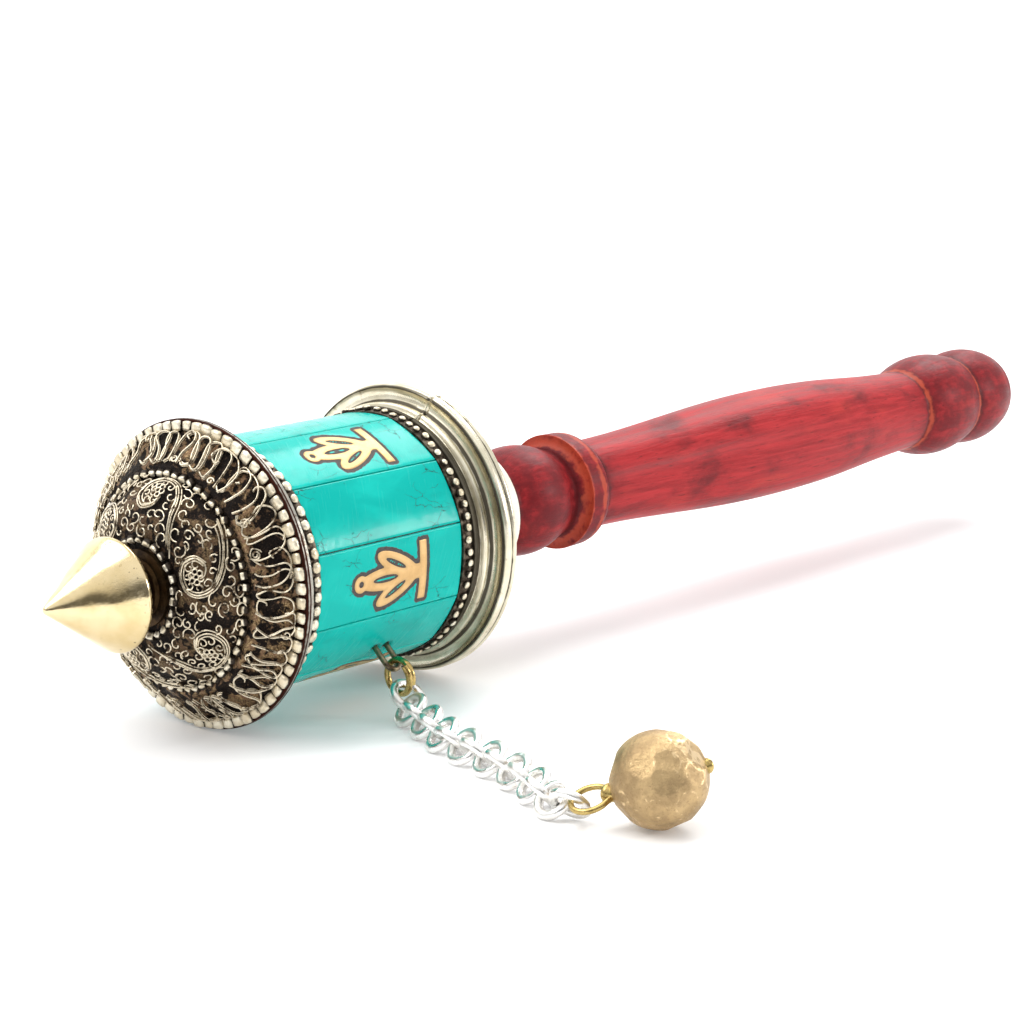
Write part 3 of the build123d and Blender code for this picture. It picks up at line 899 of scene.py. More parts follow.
def makeFinial():
    rng = random.Random(8)
    dents = [
        (rng.uniform(0, 360), rng.uniform(-29, -20), rng.uniform(2.2, 4.0), rng.uniform(0.3, 1))
        for _ in range(16)]

    def dented(station, radius, angle):
        push = 0.0
        if station < -18.6:
            for turn, middle, size, strength in dents:
                across = math.radians(apart(angle, turn)) * radius
                span = math.hypot(across, station - middle) / size
                if span < 1:
                    push += strength * (1 - span**2) ** 2
        return station, radius - push * finial["dent"]

    cone = [(-32.6, 0.0), (-32.58, 0.25), (-32.45, 0.5), (-32.2, 0.75)]
    cone += [(-32.2 + 12.8 * step / 26, 0.75 + 8.6 * step / 26) for step in range(1, 27)]
    cone += arcPath((-19.4, 9.35), (-18.6, 9.45), (-17.9, 8.6), 8)
    cone += arcPath((-17.9, 8.6), (-16.2, 5.9), (-14.2, 5.2), 8)
    cone += [(-14.2, 2.0), (-26.6, 2.0), (-26.6, 0.0)]
    addPiece(
        "finialCone", latheMesh("finialCone", cone, 128, shape=dented), "handle",
        ["finial"], polishedBrass())


makeFinial()
print("finial made")

# drum: turquoise strips with lotus inlays set flush in dark mortar
drum = {
    "radius": 21.7,
    "back": 20.5,
    "start": 6.7,
    "end": 40.6,
    "widths": [33, 31, 35, 29, 29, 29, 29, 29, 29, 29, 29, 29],  # degrees, going down from the first seam
    "firstSeam": 78,
    "seam": 0.2,  # mm
    "flatness": 0.35,  # 1 would make every strip a flat facet
    "tones": [0.8, 0.25, 0.55, 0.35, 0.9, 0.3, 0.8, 0.45, 0.1, 0.65, 0.4, 0.95],
    "groove": 0.7,  # mm of mortar round an inlay
    "inlayMiddle": 23.65,
    "inlayDepth": 0.6,
}
eyeletPlace = {
    "station": 26.5,
    "angle": -43.6,
    "halfWidth": 1.35,
    "root": 19.0,
    "reach": 26.2,
    "wire": 0.5,
}


def turquoiseStone():
    material, tree, shader = newFinish("turquoiseStone")
    space, place = axleSpace(tree)
    around = times(tree, space["angle"], drum["radius"])
    wires = {0: space["station"], 1: around, 2: space["radius"]}
    flat = paint(tree, "CombineXYZ", wires)
    tone = stored(tree, "tone")
    mortar = stored(tree, "mortar")
    shift = paint(tree, "CombineXYZ", {0: times(tree, tone, 90.0)})
    place = paint(tree, "VectorMath", {0: flat, 1: shift}, operation="ADD")
    colour = mixColours(tree, tone, (0.0, 0.37, 0.325), (0.003, 0.50, 0.43))
    cloud = fade(tree, grains(tree, place, 8.0, 4.0, stretch=(1.8, 1, 1), twist=0.8), 0.42, 0.72, 0.0, 0.5)
    colour = mixColours(tree, cloud, colour, (0.012, 0.58, 0.49))
    deep = fade(tree, grains(tree, place, 5.0, 3.0, stretch=(2.4, 1, 1)), 0.55, 0.75, 0.0, 0.5)
    colour = mixColours(tree, deep, colour, (0.0, 0.30, 0.26))
    tilted = paint(tree, "Mapping", {"Vector": place, "Rotation": (0, 0, 0.35)})
    streak = fade(tree, grains(tree, tilted, 0.7, 4.0, 0.6, stretch=(1, 9, 1)), 0.6, 0.8, 0.0, 0.3)
    milky = times(tree, streak, fade(tree, grains(tree, place, 7.0, 2.0), 0.5, 0.62))
    colour = mixColours(tree, milky, colour, (0.14, 0.62, 0.54))
    chance = fade(tree, grains(tree, place, 4.5, 3.0), 0.56, 0.66)
    spot = fade(
        tree, cells(tree, place, 1.3, stretch=(1.6, 0.9, 1)).outputs["Distance"], 0.1, 0.24, 1.0, 0.0)
    crumbs = fade(tree, grains(tree, place, 0.35, 3.0), 0.4, 0.55)
    spot = times(tree, times(tree, spot, chance), crumbs)
    waves = {"Vector": place, "Scale": 0.9, "Detail": 3.0}
    bent = addNode(tree, "ShaderNodeTexNoise", waves).outputs["Color"]
    bent = paint(tree, "VectorMath", {0: place, 1: bent}, operation="ADD")
    split = cells(tree, bent, 3.6, "DISTANCE_TO_EDGE", (1.5, 0.8, 1)).outputs["Distance"]
    crackHere = fade(tree, grains(tree, place, 9.0, 2.0), 0.53, 0.60)
    crack = times(tree, fade(tree, split, 0.004, 0.017, 1.0, 0.0), crackHere)
    dirt = larger(tree, spot, times(tree, crack, 0.8))
    colour = mixColours(tree, dirt, colour, (0.02, 0.035, 0.032))
    grit = grains(tree, place, 0.3, 3.0)
    filler = mixColours(tree, grit, (0.03, 0.027, 0.025), (0.14, 0.125, 0.12))
    filled = fade(tree, ragged(tree, grains(tree, place, 0.8, 4.0), 0.7, mortar), 0.42, 0.58)
    colour = mixColours(tree, filled, colour, filler)
    smear = fade(tree, grains(tree, tilted, 0.6, 3.0, stretch=(1, 12, 1)), 0.35, 0.7, 0.16, 0.3)
    rough = larger(tree, smear, times(tree, larger(tree, filled, dirt), 0.65))
    scratch = relief(tree, grains(tree, tilted, 0.22, 3.0, stretch=(1, 14, 1)), 0.02, 0.6)
    pit = larger(tree, dirt, times(tree, filled, 0.5))
    joinShader(
        tree, shader, colour=colour, rough=rough, normal=relief(tree, pit, 0.12, -0.8, scratch),
        coat=0.04, coatRough=0.06)
    shader.inputs["Specular IOR Level"].default_value = 0.08
    return material


def inlayBrass():
    material, tree, shader = newFinish("inlayBrass")
    _, place = axleSpace(tree)
    speck = grains(tree, place, 0.3, 4.0, 0.7)
    tone = grains(tree, place, 3.5, 4.0)
    colour = blend(tree, tone, 0.35, 0.7, (0.70, 0.46, 0.21), (0.58, 0.36, 0.15))
    colour = blend(tree, speck, 0.58, 0.75, colour, (0.40, 0.26, 0.11), 0.5)
    edge = stored(tree, "edge")
    colour = mixColours(tree, times(tree, edge, 0.35), colour, (0.3, 0.19, 0.09))
    rough = fade(tree, speck, 0.3, 0.7, 0.36, 0.52)
    joinShader(tree, shader, colour=colour, rough=rough, metal=0.8, normal=relief(tree, speck, 0.03))
    return material


def darkMortar():
    material, tree, shader = newFinish("darkMortar")
    _, place = axleSpace(tree)
    grit = grains(tree, place, 0.35, 4.0)
    tone = grains(tree, place, 4.0, 3.0)
    colour = blend(tree, grit, 0.35, 0.7, (0.06, 0.05, 0.045), (0.26, 0.22, 0.2))
    colour = blend(tree, tone, 0.45, 0.7, colour, (0.05, 0.16, 0.14), 0.6)
    joinShader(tree, shader, colour=colour, rough=0.7, normal=relief(tree, grit, 0.12))
    return material


def lotusDistance(u, v, halfSpan):
    # how far a place on a strip lies outside the lotus, in mm; u runs along the axle
    def bar(middle, halfLong, halfWide):
        du, dv = np.abs(u - middle) - halfLong, np.abs(v) - halfWide
        return np.hypot(np.maximum(du, 0), np.maximum(dv, 0)) + np.minimum(np.maximum(du, dv), 0)

    def leaf(middleU, middleV, long, wide, turn):
        x = (u - middleU) * math.cos(turn) + (v - middleV) * math.sin(turn)
        y = (v - middleV) * math.cos(turn) - (u - middleU) * math.sin(turn)
        near = np.hypot(x / long, y / wide)
        return near * (near - 1) / np.maximum(np.hypot(x / long**2, y / wide**2), 1e-6)

    reach = 4.7
    spread = math.asin((halfSpan - 0.9) / (reach + 5.3))
    parts = [
        bar(7.4, 0.85, halfSpan - 0.15), bar(5.6, 1.5, 1.3), leaf(-0.8, 0, 6.9, 2.0, 0),
        leaf(-7.4, 0, 1.5, 1.5, 0)]
    for fan in (-spread, spread):
        parts.append(leaf(5.6 - reach * math.cos(fan), -reach * math.sin(fan), 5.3, 1.7, fan))
    whole = parts[0]
    for part in parts[1:]:
        blend = np.clip(0.5 + 0.5 * (part - whole) / 0.3, 0, 1)
        whole = part * (1 - blend) + whole * blend - 0.3 * blend * (1 - blend)
    slots = [leaf(-1.6, 0, 2.9, 0.62, 0), leaf(-7.3, 0, 0.55, 0.55, 0)]
    for fan in (-spread, spread):
        slots.append(leaf(5.6 - reach * 1.12 * math.cos(fan), -reach * 1.12 * math.sin(fan), 2.6, 0.5, fan))
    for slot in slots:
        whole = np.maximum(whole, -slot)
    return whole


def stripRadius(angle, middle, half):
    flat = drum["radius"] * math.cos(math.radians(half)) / math.cos(math.radians(angle - middle))
    return drum["radius"] + (flat - drum["radius"]) * drum["flatness"]


def stripMesh(name, number, middle, half, lotus):
    halfSpan = drum["back"] * math.sin(math.radians(half)) - 0.9
    length = drum["end"] - drum["start"] - 0.1
    seamAngle = math.degrees(drum["seam"] / drum["radius"]) / 2
    inset = [0, 0.06, 0.14, 0.26, 0.42]
    step = 0.22 if lotus or number == 3 else 0.6
    arc = math.radians(2 * (half - seamAngle)) * drum["radius"]

    def spread(total):
        inner = list(np.linspace(0.42, total - 0.42, max(3, int((total - 0.84) / step))))
        return inset[:-1] + inner + [total - part for part in reversed(inset[:-1])]

    alongs, acrosses = spread(length), spread(arc)
    rng = random.Random(number + 20)
    phases = [(rng.uniform(0.2, 0.9), rng.uniform(0, 6.3), rng.uniform(0.2, 1)) for _ in range(6)]
    rows = []
    mesh = bpy.data.meshes.new(name)
    work = bmesh.new()
    toneLayer = work.verts.layers.float.new("tone")
    mortarLayer = work.verts.layers.float.new("mortar")
    for across in acrosses:
        angle = middle + math.degrees((across - arc / 2) / drum["radius"])
        row = []
        for along in alongs:
            station = drum["start"] + 0.05 + along
            radius = stripRadius(angle, middle, half)
            edge = min(along, length - along, across, arc - across)
            waves = [
                size * math.sin(along * rate * 3 + across * rate + phase) for rate, phase, size in phases]
            chip = sum(waves) / 6
            reach = 0.42 * (1 + 0.4 * chip)
            if edge < reach:
                radius -= 0.22 * (1 - math.sqrt(max(0, 1 - (1 - edge / reach) ** 2)))
            radius += 0.03 * chip
            mortar = 0.0
            if lotus:
                v = drum["radius"] * math.sin(math.radians(angle - middle))
                out = float(lotusDistance(np.array(station - drum["inlayMiddle"]), np.array(v), halfSpan))
                if out < 0:
                    radius -= 0.14
                elif out < drum["groove"] * 1.6:
                    radius -= 0.1 * (1 - out / (drum["groove"] * 1.6))
                mortar = min(max(1.0 - (out - drum["groove"] * 0.35) / drum["groove"] * 0.8, 0), 1)
            if number == 3:
                below = math.radians(angle - eyeletPlace["angle"]) * drum["radius"]
                beside = station - eyeletPlace["station"]
                away = min(math.hypot(beside - side * eyeletPlace["halfWidth"], below) for side in (-1, 1))
                if away < 1.3:
                    radius -= 0.7 * (1 - away / 1.3)
                    mortar = max(mortar, 1.15 - away / 1.1)
            vert = work.verts.new(onAxle(station, radius, angle))
            vert[toneLayer] = drum["tones"][number]
            vert[mortarLayer] = mortar
            row.append(vert)
        rows.append(row)
    for first, second in zip(rows, rows[1:]):
        for index in range(len(alongs) - 1):
            work.faces.new((first[index], first[index + 1], second[index + 1], second[index]))
    rim = rows[0] + [row[-1] for row in rows[1:]] + rows[-1][-2::-1] + [row[0] for row in rows[-2:0:-1]]
    low = {}
    for vert in rim:
        offset = Vector((0, vert.co.y - axleY, vert.co.z - axleZ))
        drop = offset.normalized() * drum["back"] * mm
        copy = work.verts.new((vert.co.x, axleY + drop.y, axleZ + drop.z))
        copy[toneLayer] = drum["tones"][number]
        low[vert] = copy
    for first, second in zip(rim, rim[1:] + rim[:1]):
        work.faces.new((first, second, low[second], low[first]))
    work.faces.new([low[vert] for vert in rows[0]] + [low[rows[1][-1]], low[rows[1][0]]])
    work.faces.new([low[vert] for vert in rows[-1]] + [low[rows[-2][-1]], low[rows[-2][0]]])
    for first, second in zip(rows[1:-2], rows[2:-1]):
        work.faces.new((low[first[0]], low[first[-1]], low[second[-1]], low[second[0]]))
    return closeMesh(mesh, work)


def inlayMesh(name, places):
    # cuts each lotus out of a fine grid, pulls its edge onto the outline and gives it thickness
    mesh = bpy.data.meshes.new(name)
    work = bmesh.new()
    edgeLayer = work.verts.layers.float.new("edge")
    for middle, half in places:
        halfSpan = drum["back"] * math.sin(math.radians(half)) - 0.9
        us = np.arange(-9.3, 8.9, 0.2)
        vs = np.arange(-halfSpan - 0.6, halfSpan + 0.61, 0.2)
        u, v = np.meshgrid(us, vs, indexing="ij")
        far = lotusDistance(u, v, halfSpan)
        cell = (far[:-1, :-1] + far[1:, :-1] + far[:-1, 1:] + far[1:, 1:]) / 4 < 0
        tops, lows = {}, {}

        def corner(i, j):
            if (i, j) in tops:
                return
            x, y = float(u[i, j]), float(v[i, j])
            corners = [(a, b) for a in (i - 1, i) for b in (j - 1, j)]
            inside = [0 <= a < cell.shape[0] and 0 <= b < cell.shape[1] and cell[a, b] for a, b in corners]
            rimHere = not all(inside)
            if rimHere:
                for _ in range(3):
                    d = float(lotusDistance(np.array(x), np.array(y), halfSpan))
                    gx = float(lotusDistance(np.array(x + 0.01), np.array(y), halfSpan)) - d
                    gy = float(lotusDistance(np.array(x), np.array(y + 0.01), halfSpan)) - d
                    long = math.hypot(gx, gy) or 1
                    move = max(-0.15, min(0.15, d))
                    x -= move * gx / long
                    y -= move * gy / long
            angle = middle + math.degrees(math.asin(y / drum["radius"]))
            level = stripRadius(angle, middle, half)
            tops[i, j] = work.verts.new(
                onAxle(drum["inlayMiddle"] + x, level - (0.05 if rimHere else 0.0), angle))
            lows[i, j] = work.verts.new(onAxle(drum["inlayMiddle"] + x, level - drum["inlayDepth"], angle))
            tops[i, j][edgeLayer] = min(max(1 + float(far[i, j]) / 0.5, 0), 1)

        for i, j in zip(*np.nonzero(cell)):
            ring = [(i, j), (i + 1, j), (i + 1, j + 1), (i, j + 1)]
            for key in ring:
                corner(*key)
            work.faces.new([tops[key] for key in ring])
            work.faces.new([lows[key] for key in reversed(ring)])
        sides = [
            (edge.verts[0], edge.verts[1]) for edge in work.edges
            if len(edge.link_faces) == 1 and edge.verts[0] in set(tops.values())]
        match = {tops[key]: lows[key] for key in tops}
        for first, second in sides:
            work.faces.new((first, second, match[second], match[first]))
    return closeMesh(mesh, work)


def makeDrum():
    stone = turquoiseStone()
    top = drum["firstSeam"]
    inlays = []
    for number, width in enumerate(drum["widths"]):
        middle, half = top - width / 2, width / 2
        top -= width
        lotus = number % 2 == 0
        if lotus:
            inlays.append((middle, half))
        name = f"stoneStrip{number + 1:02d}"
        node = f"turquoise_strip_{number + 1:02d}"
        addPiece(
            name, stripMesh(name, number, middle, half, lotus), "wheel", [node], stone,
            crease=50)
    bed = [(drum["start"], 20.2), (drum["start"], 21.05), (drum["end"], 21.05), (drum["end"], 20.2)]
    addPiece(
        "mortarBed", latheMesh("mortarBed", bed, 180), "wheel", ["resin_bed"], darkMortar())
    addPiece(
        "lotusInlays", inlayMesh("lotusInlays", inlays), "wheel", ["brass_inlays"],
        inlayBrass(), crease=50)


makeDrum()
print("drum made")

# flange: the drum's spun nickel-silver foot, with the butt seam of its sheet
flange = {
    "seamAngle": 71.0,  # degrees up from the front side
    "seamDepth": 0.3,
    "waviness": 0.07,
    "dirtLines": [(43.3, 0.75), (44.4, 0.42), (46.45, 0.3), (48.72, 0.22)],  # station and half width, mm
}


def flangeSilver():
    material, tree, shader = newFinish("flangeSilver")
    space, place = axleSpace(tree)
    tone = grains(tree, place, 5.0, 5.0, 0.6)
    colour = blend(tree, tone, 0.3, 0.7, (0.88, 0.82, 0.66), (0.66, 0.60, 0.44))
    blush = fade(tree, grains(tree, place, 2.4, 5.0, 0.65), 0.6, 0.75, 0.0, 0.7)
    colour = mixColours(tree, blush, colour, (0.30, 0.22, 0.14))
    around = times(tree, space["angle"], 24.0)
    flat = paint(tree, "CombineXYZ", {0: space["station"], 1: around, 2: space["radius"]})
    band = grains(tree, flat, 0.5, 4.0, 0.6, stretch=(1, 40, 1))
    colour = blend(tree, band, 0.52, 0.8, colour, (0.26, 0.22, 0.14), 0.55)
    uneven = ragged(tree, grains(tree, flat, 1.0, 5.0, stretch=(1, 3, 1)), 0.35)
    steps = [("station", *line) for line in flange["dirtLines"]]
    dirt = marks(tree, space, steps, uneven, 0.5, 1.2)
    outer = fade(tree, space["radius"], 24.9, 25.2)
    inner = fade(tree, space["radius"], 22.9, 23.2, 1.0, 0.0)
    cove = times(
        tree, fade(tree, space["station"], 46.0, 46.3), minus(tree, 1.0, larger(tree, outer, inner)))
    dirt = times(tree, dirt, minus(tree, 1.0, cove))
    lip = reckon(tree, "ABSOLUTE", plus(tree, minus(tree, space["radius"], 25.2), uneven))
    before = fade(tree, space["station"], 46.9, 47.1, 1.0, 0.0)
    dirt = larger(tree, dirt, times(tree, fade(tree, lip, 0.08, 0.3, 1.0, 0.0), before))
    colour = mixColours(tree, times(tree, dirt, 0.93), colour, (0.045, 0.036, 0.025))
    rough = reckon(tree, "MULTIPLY_ADD", dirt, 0.25, fade(tree, band, 0.3, 0.8, 0.24, 0.42))
    bump = relief(tree, grains(tree, flat, 0.4, 4.0, stretch=(1, 8, 1)), 0.03)
    joinShader(
        tree, shader, colour=colour, rough=rough, metal=1.0, normal=relief(tree, tone, 0.1, 1.0, bump))
    return material


def makeFlange():
    rng = random.Random(15)
    waves = drawWaves(rng, 8, 5)

    def beaten(station, radius, angle):
        if radius < 21:
            return station, radius
        shift = ripple(waves, angle) * flange["waviness"]
        across = apart(angle, flange["seamAngle"])
        cut = math.exp(-((across / 0.45) ** 2)) * flange["seamDepth"]
        bead = math.exp(-(((across - 1.3) / 0.7) ** 2)) * 0.3
        step = 0.16 * math.exp(-abs(across) / 14) if across > 0 else 0.0
        push = cut + step - bead
        return station + shift + push * 0.7, radius - abs(shift) - max(push, 0) * 0.5

    outline = [(42.9, 20.2), (42.9, 22.2), (43.8, 22.2), (44.0, 21.7), (44.8, 21.7), (45.0, 22.2)]
    outline += arcPath((45.0, 22.2), (45.6, 22.7), (46.1, 22.4), 8)
    outline += arcPath((46.1, 22.4), (46.9, 24.0), (46.4, 25.3), 14) + [(46.9, 25.1), (47.0, 25.6)]
    outline += arcPath((47.0, 25.6), (47.8, 25.8), (48.6, 25.6), 8) + [(48.8, 25.4)]
    outline += arcPath((48.8, 25.4), (49.5, 25.7), (50.0, 25.0), 8) + [(50.0, 20.2)]
    angles = [index * 360 / 240 for index in range(240)]
    near = [flange["seamAngle"] + part * 0.25 for part in range(-9, 15)]
    angles = sorted([angle for angle in angles if not -2.6 < angle - flange["seamAngle"] < 3.8] + near)
    mesh = latheMesh("spunFlange", softened(outline, 0.12), angles=angles, shape=beaten)
    addPiece("spunFlange", mesh, "wheel", ["flange"], flangeSilver())


makeFlange()
print("flange made")

# handle and bone bush
handle = {
    "segments": 144,
    "wear": 0.55,
    "gloss": 0.03,
    "shine": 0.14,
    # station and half width, mm
    "wornEdges": [(91.3, 0.35), (87.7, 0.3), (221.0, 0.4), (203.2, 0.4), (67.1, 0.3)],
    # painted shade: the grooves, and the wood under the bone bush's lip, are painted dark
    "shadedGrooves": [(86.0, 1.1), (94.8, 0.9), (203.0, 0.8), (221.4, 0.8), (69.0, 1.4)],
}


def redWood():
    material, tree, shader = newFinish("redWood")
    space, place = axleSpace(tree)
    long = grains(tree, place, 1.1, 6.0, 0.65, stretch=(22, 1, 1), twist=0.4)
    pores = grains(tree, place, 0.32, 3.0, 0.6, stretch=(12, 1, 1))
    blotch = grains(tree, place, 9.0, 5.0, 0.6, stretch=(1.6, 1, 1))
    colour = blend(tree, long, 0.3, 0.7, (0.25, 0.007, 0.010), (0.44, 0.024, 0.028))
    colour = blend(tree, blotch, 0.5, 0.72, colour, (0.10, 0.005, 0.008), 0.8)
    glow = fade(tree, grains(tree, place, 6.0, 4.0, stretch=(3, 1, 1)), 0.55, 0.72, 0.0, 0.45)
    colour = mixColours(tree, glow, colour, (0.52, 0.04, 0.03))
    colour = blend(tree, pores, 0.6, 0.72, colour, (0.05, 0.004, 0.005), 0.7)
    uneven = ragged(tree, grains(tree, place, 1.6, 5.0), 2.2)
    worn, dark = (
        marks(tree, space, [("station", *line) for line in handle[lines]], uneven, 0.3, 1.0, reach)
        for lines, reach in (("wornEdges", 0.5), ("shadedGrooves", 0.9)))
    knob = fade(tree, space["station"], 92.0, 100.0, 1.0, fade(tree, space["station"], 196.0, 206.0))
    smoky = times(tree, knob, fade(tree, grains(tree, place, 3.0, 5.0, 0.65), 0.3, 0.62, 0.3, 0.85))
    colour = mixColours(tree, smoky, colour, (0.11, 0.006, 0.009))
    # painted shade in the grooves
    colour = mixColours(tree, times(tree, dark, 0.75), colour, (0.045, 0.004, 0.006))
    colour = mixColours(tree, times(tree, worn, handle["wear"]), colour, (0.60, 0.09, 0.04))
    rough = fade(tree, long, 0.3, 0.7, 0.36, 0.5)
    height = reckon(tree, "MULTIPLY_ADD", pores, -0.5, long)
    joinShader(
        tree, shader, colour=colour, rough=rough, normal=relief(tree, height, 0.09), coat=handle["gloss"],
        coatRough=0.3)
    shader.inputs["Specular IOR Level"].default_value = handle["shine"]
    return material


def polishedBone():
    material, tree, shader = newFinish("polishedBone")
    space, place = axleSpace(tree)
    line = grains(tree, place, 0.5, 4.0, stretch=(14, 1, 1))
    tone = grains(tree, place, 5.0, 3.0)
    colour = blend(tree, tone, 0.3, 0.7, (0.92, 0.87, 0.75), (0.86, 0.78, 0.62))
    colour = blend(tree, line, 0.6, 0.78, colour, (0.5, 0.38, 0.22), 0.5)
    edge = reckon(tree, "ABSOLUTE", minus(tree, space["station"], 66.9))
    colour = mixColours(tree, fade(tree, edge, 0.1, 0.7, 0.7, 0.0), colour, (0.35, 0.2, 0.12))
    joinShader(tree, shader, colour=colour, rough=fade(tree, line, 0.3, 0.7, 0.24, 0.36), soft=0.08,
               normal=relief(tree, line, 0.03))
    return material


def makeHandle():
    outline = [(66.9, 2.0), (66.9, 8.3), (70.6, 8.5)] + arcPath((70.6, 8.5), (78.5, 10.3), (84.4, 8.7), 18)
    outline += [(86.0, 8.4)] + arcPath((86.0, 8.4), (87.5, 9.1), (87.8, 10.9), 8) + [(91.2, 10.8)]
    outline += arcPath((91.2, 10.8), (93.2, 10.1), (94.0, 8.8), 8) + [(95.4, 8.3)]
    belly = [(95.4, 8.3), (110, 8.8), (137, 10.5), (155, 10.9), (172, 10.5), (190, 9.2), (202.5, 8.5)]
    outline += [tuple(point) for point in flowPath(belly, 10)[1:]] + [(203.6, 8.9)]
    outline += arcPath((203.6, 8.9), (212.5, 10.95), (220.6, 9.8), 18) + [(221.6, 9.5)]
    outline += arcPath((221.6, 9.5), (228.5, 10.4), (234.6, 8.9), 16)
    outline += arcPath((234.6, 8.9), (237.0, 7.0), (237.9, 4.5), 8)
    outline += [(237.9, 0.0), (117.0, 0.0), (117.0, 2.0)]
    rng = random.Random(6)
    waves = [(rng.randint(1, 3), rng.uniform(0, 6.3), rng.uniform(0.05, 0.11)) for _ in range(5)]

    def turned(station, radius, angle):
        # hand turning leaves the wood a little out of round
        if radius < 5 or station > 234:
            return station, radius
        turn = math.radians(angle)
        shift = sum(math.sin(count * turn + phase + station * rate) for count, phase, rate in waves) / 5
        return station, radius - 0.07 * (1 + shift)

    mesh = latheMesh("turnedHandle", softened(outline, 0.35, closed=False), handle["segments"], shape=turned)
    addPiece("turnedHandle", mesh, "handle", ["handle"], redWood())
    bush = [(66.9, 2.0), (50.9, 2.0), (50.9, 7.0), (52.4, 7.6)]
    bush += arcPath((52.4, 7.6), (57.0, 10.6), (64.8, 11.8), 14) + [(66.2, 11.8), (66.9, 11.1)]
    addPiece(
        "boneBush", latheMesh("boneBush", softened(bush, 0.3), 96), "handle", ["bone_bush"],
        polishedBone())


makeHandle()
print("handle made")

# eyelet, open ring, chain and weight
chain = {
    "links": 17,
    "linkRadius": 2.72,
    "linkWire": 0.77,
    "oval": 1.02,
    "wobble": 0.16,  # mm, how lumpy the soldered links are
    "ringRadius": 2.9,
    "ringWire": 0.58,
    "ringLap": 62,  # degrees by which the cut ends pass each other
}


def bronzeWire():
    return metalFinish("bronzeWire", (0.30, 0.24, 0.15), (0.09, 0.065, 0.045), patch=1.4, cover=(0.42, 0.66),
                       rough=(0.28, 0.5), lumps=0.04, lumpSize=1.0)


def brassWire():
    return metalFinish("brassWire", (0.52, 0.38, 0.14), (0.20, 0.14, 0.05), patch=1.5, cover=(0.48, 0.72),
                       rough=(0.18, 0.36), lumps=0.03, lumpSize=1.0)


def chainSilver():
    material, tree, shader = newFinish("chainSilver")
    _, place = axleSpace(tree)
    tone = grains(tree, place, 2.5, 4.0)
    colour = blend(tree, tone, 0.35, 0.7, (0.93, 0.92, 0.90), (0.80, 0.78, 0.74))
    rust = fade(tree, grains(tree, place, 1.5, 5.0, 0.6), 0.62, 0.72, 0.0, 0.8)
    colour = mixColours(tree, rust, colour, (0.45, 0.38, 0.28))
    elsewhere = paint(tree, "Mapping", {"Vector": place, "Location": (7, 3, 5)})
    green = fade(tree, grains(tree, elsewhere, 1.9, 5.0, 0.6), 0.67, 0.74, 0.0, 0.4)
    colour = mixColours(tree, green, colour, (0.12, 0.42, 0.36))
    rough = reckon(tree, "MULTIPLY_ADD", green, 0.4, fade(tree, tone, 0.3, 0.7, 0.22, 0.4))
    metal = reckon(tree, "MULTIPLY_ADD", green, -0.7, 1.0)
    facets = cells(tree, place, 1.3, "SMOOTH_F1").outputs["Distance"]
    joinShader(tree, shader, colour=colour, rough=rough, metal=metal, normal=relief(tree, facets, 0.22, 0.7))
    return material


def castBrass():
    material, tree, shader = newFinish("castBrass")
    _, place = axleSpace(tree)
    tone = grains(tree, place, 4.5, 5.0, 0.6)
    fine = grains(tree, place, 0.4, 4.0, 0.7)
    colour = blend(tree, tone, 0.35, 0.65, (0.55, 0.39, 0.20), (0.34, 0.235, 0.12))
    colour = blend(tree, fine, 0.55, 0.75, colour, (0.16, 0.105, 0.05), 0.55)
    # brighter on worn facet ridges, and with a painted highlight on the broad flat facing the lamps
    wearAndHighlight = ragged(tree, grains(tree, place, 1.0, 5.0), 1.4, stored(tree, "wearAndHighlight"))
    bright = fade(tree, wearAndHighlight, 0.45, 0.8)
    colour = mixColours(tree, times(tree, bright, 0.8), colour, (0.80, 0.60, 0.34))
    rough = reckon(tree, "MULTIPLY_ADD", bright, -0.14, fade(tree, fine, 0.3, 0.7, 0.42, 0.56))
    height = reckon(tree, "MULTIPLY_ADD", fine, 0.35, grains(tree, place, 1.1, 4.0))
    joinShader(tree, shader, colour=colour, rough=rough, metal=0.9, normal=relief(tree, height, 0.2))
    return material


def ringFrame(node):
    # middle and plane of a ring-shaped CAD node, as a matrix whose Z is the ring's own axis
    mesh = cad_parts[node].data
    points = np.empty(len(mesh.vertices) * 3)
    mesh.vertices.foreach_get("co", points)
    points = points.reshape(-1, 3)
    world = np.array(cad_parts[node].matrix_world)
    points = points @ world[:3, :3].T + world[:3, 3]
    middle = (points.max(0) + points.min(0)) / 2
    _, _, axes = np.linalg.svd(points - points.mean(0), full_matrices=False)
    flat, normal = Vector(axes[0]), Vector(axes[2])
    side = normal.cross(flat)
    return Matrix((flat, side, normal)).transposed().to_4x4(), Vector(middle)


def linkTree():
    tree, given = startTree(
        "chainLink", {"ringRadius": 0.0025, "wireRadius": 0.0006, "oval": 1.0, "wobble": 0.0001,
        "seed": 1, "finish": None})
    ring = geo(tree, "CurvePrimitiveCircle", {"Resolution": 40, "Radius": given["ringRadius"]})
    longer = paint(tree, "CombineXYZ", {0: given["oval"], 1: 1.0, 2: 1.0})
    ring = geo(tree, "Transform", {"Geometry": ring, "Scale": longer})
    section = geo(tree, "CurvePrimitiveCircle", {"Resolution": 14, "Radius": given["wireRadius"]})
    tube = geo(tree, "CurveToMesh", {"Curve": ring, "Profile Curve": section})
    wires = {"W": given["seed"], "Scale": 650.0, "Detail": 2.0}
    noise = addNode(tree, "ShaderNodeTexNoise", wires, noise_dimensions="4D").outputs["Color"]
    centred = paint(tree, "VectorMath", {0: noise, 1: (0.5, 0.5, 0.5)}, operation="SUBTRACT")
    push = paint(tree, "VectorMath", {0: centred, "Scale": given["wobble"]}, operation="SCALE")
    lumpy = geo(tree, "SetPosition", {"Geometry": tube, "Offset": push})
    endTree(tree, lumpy, given["finish"])
    return tree


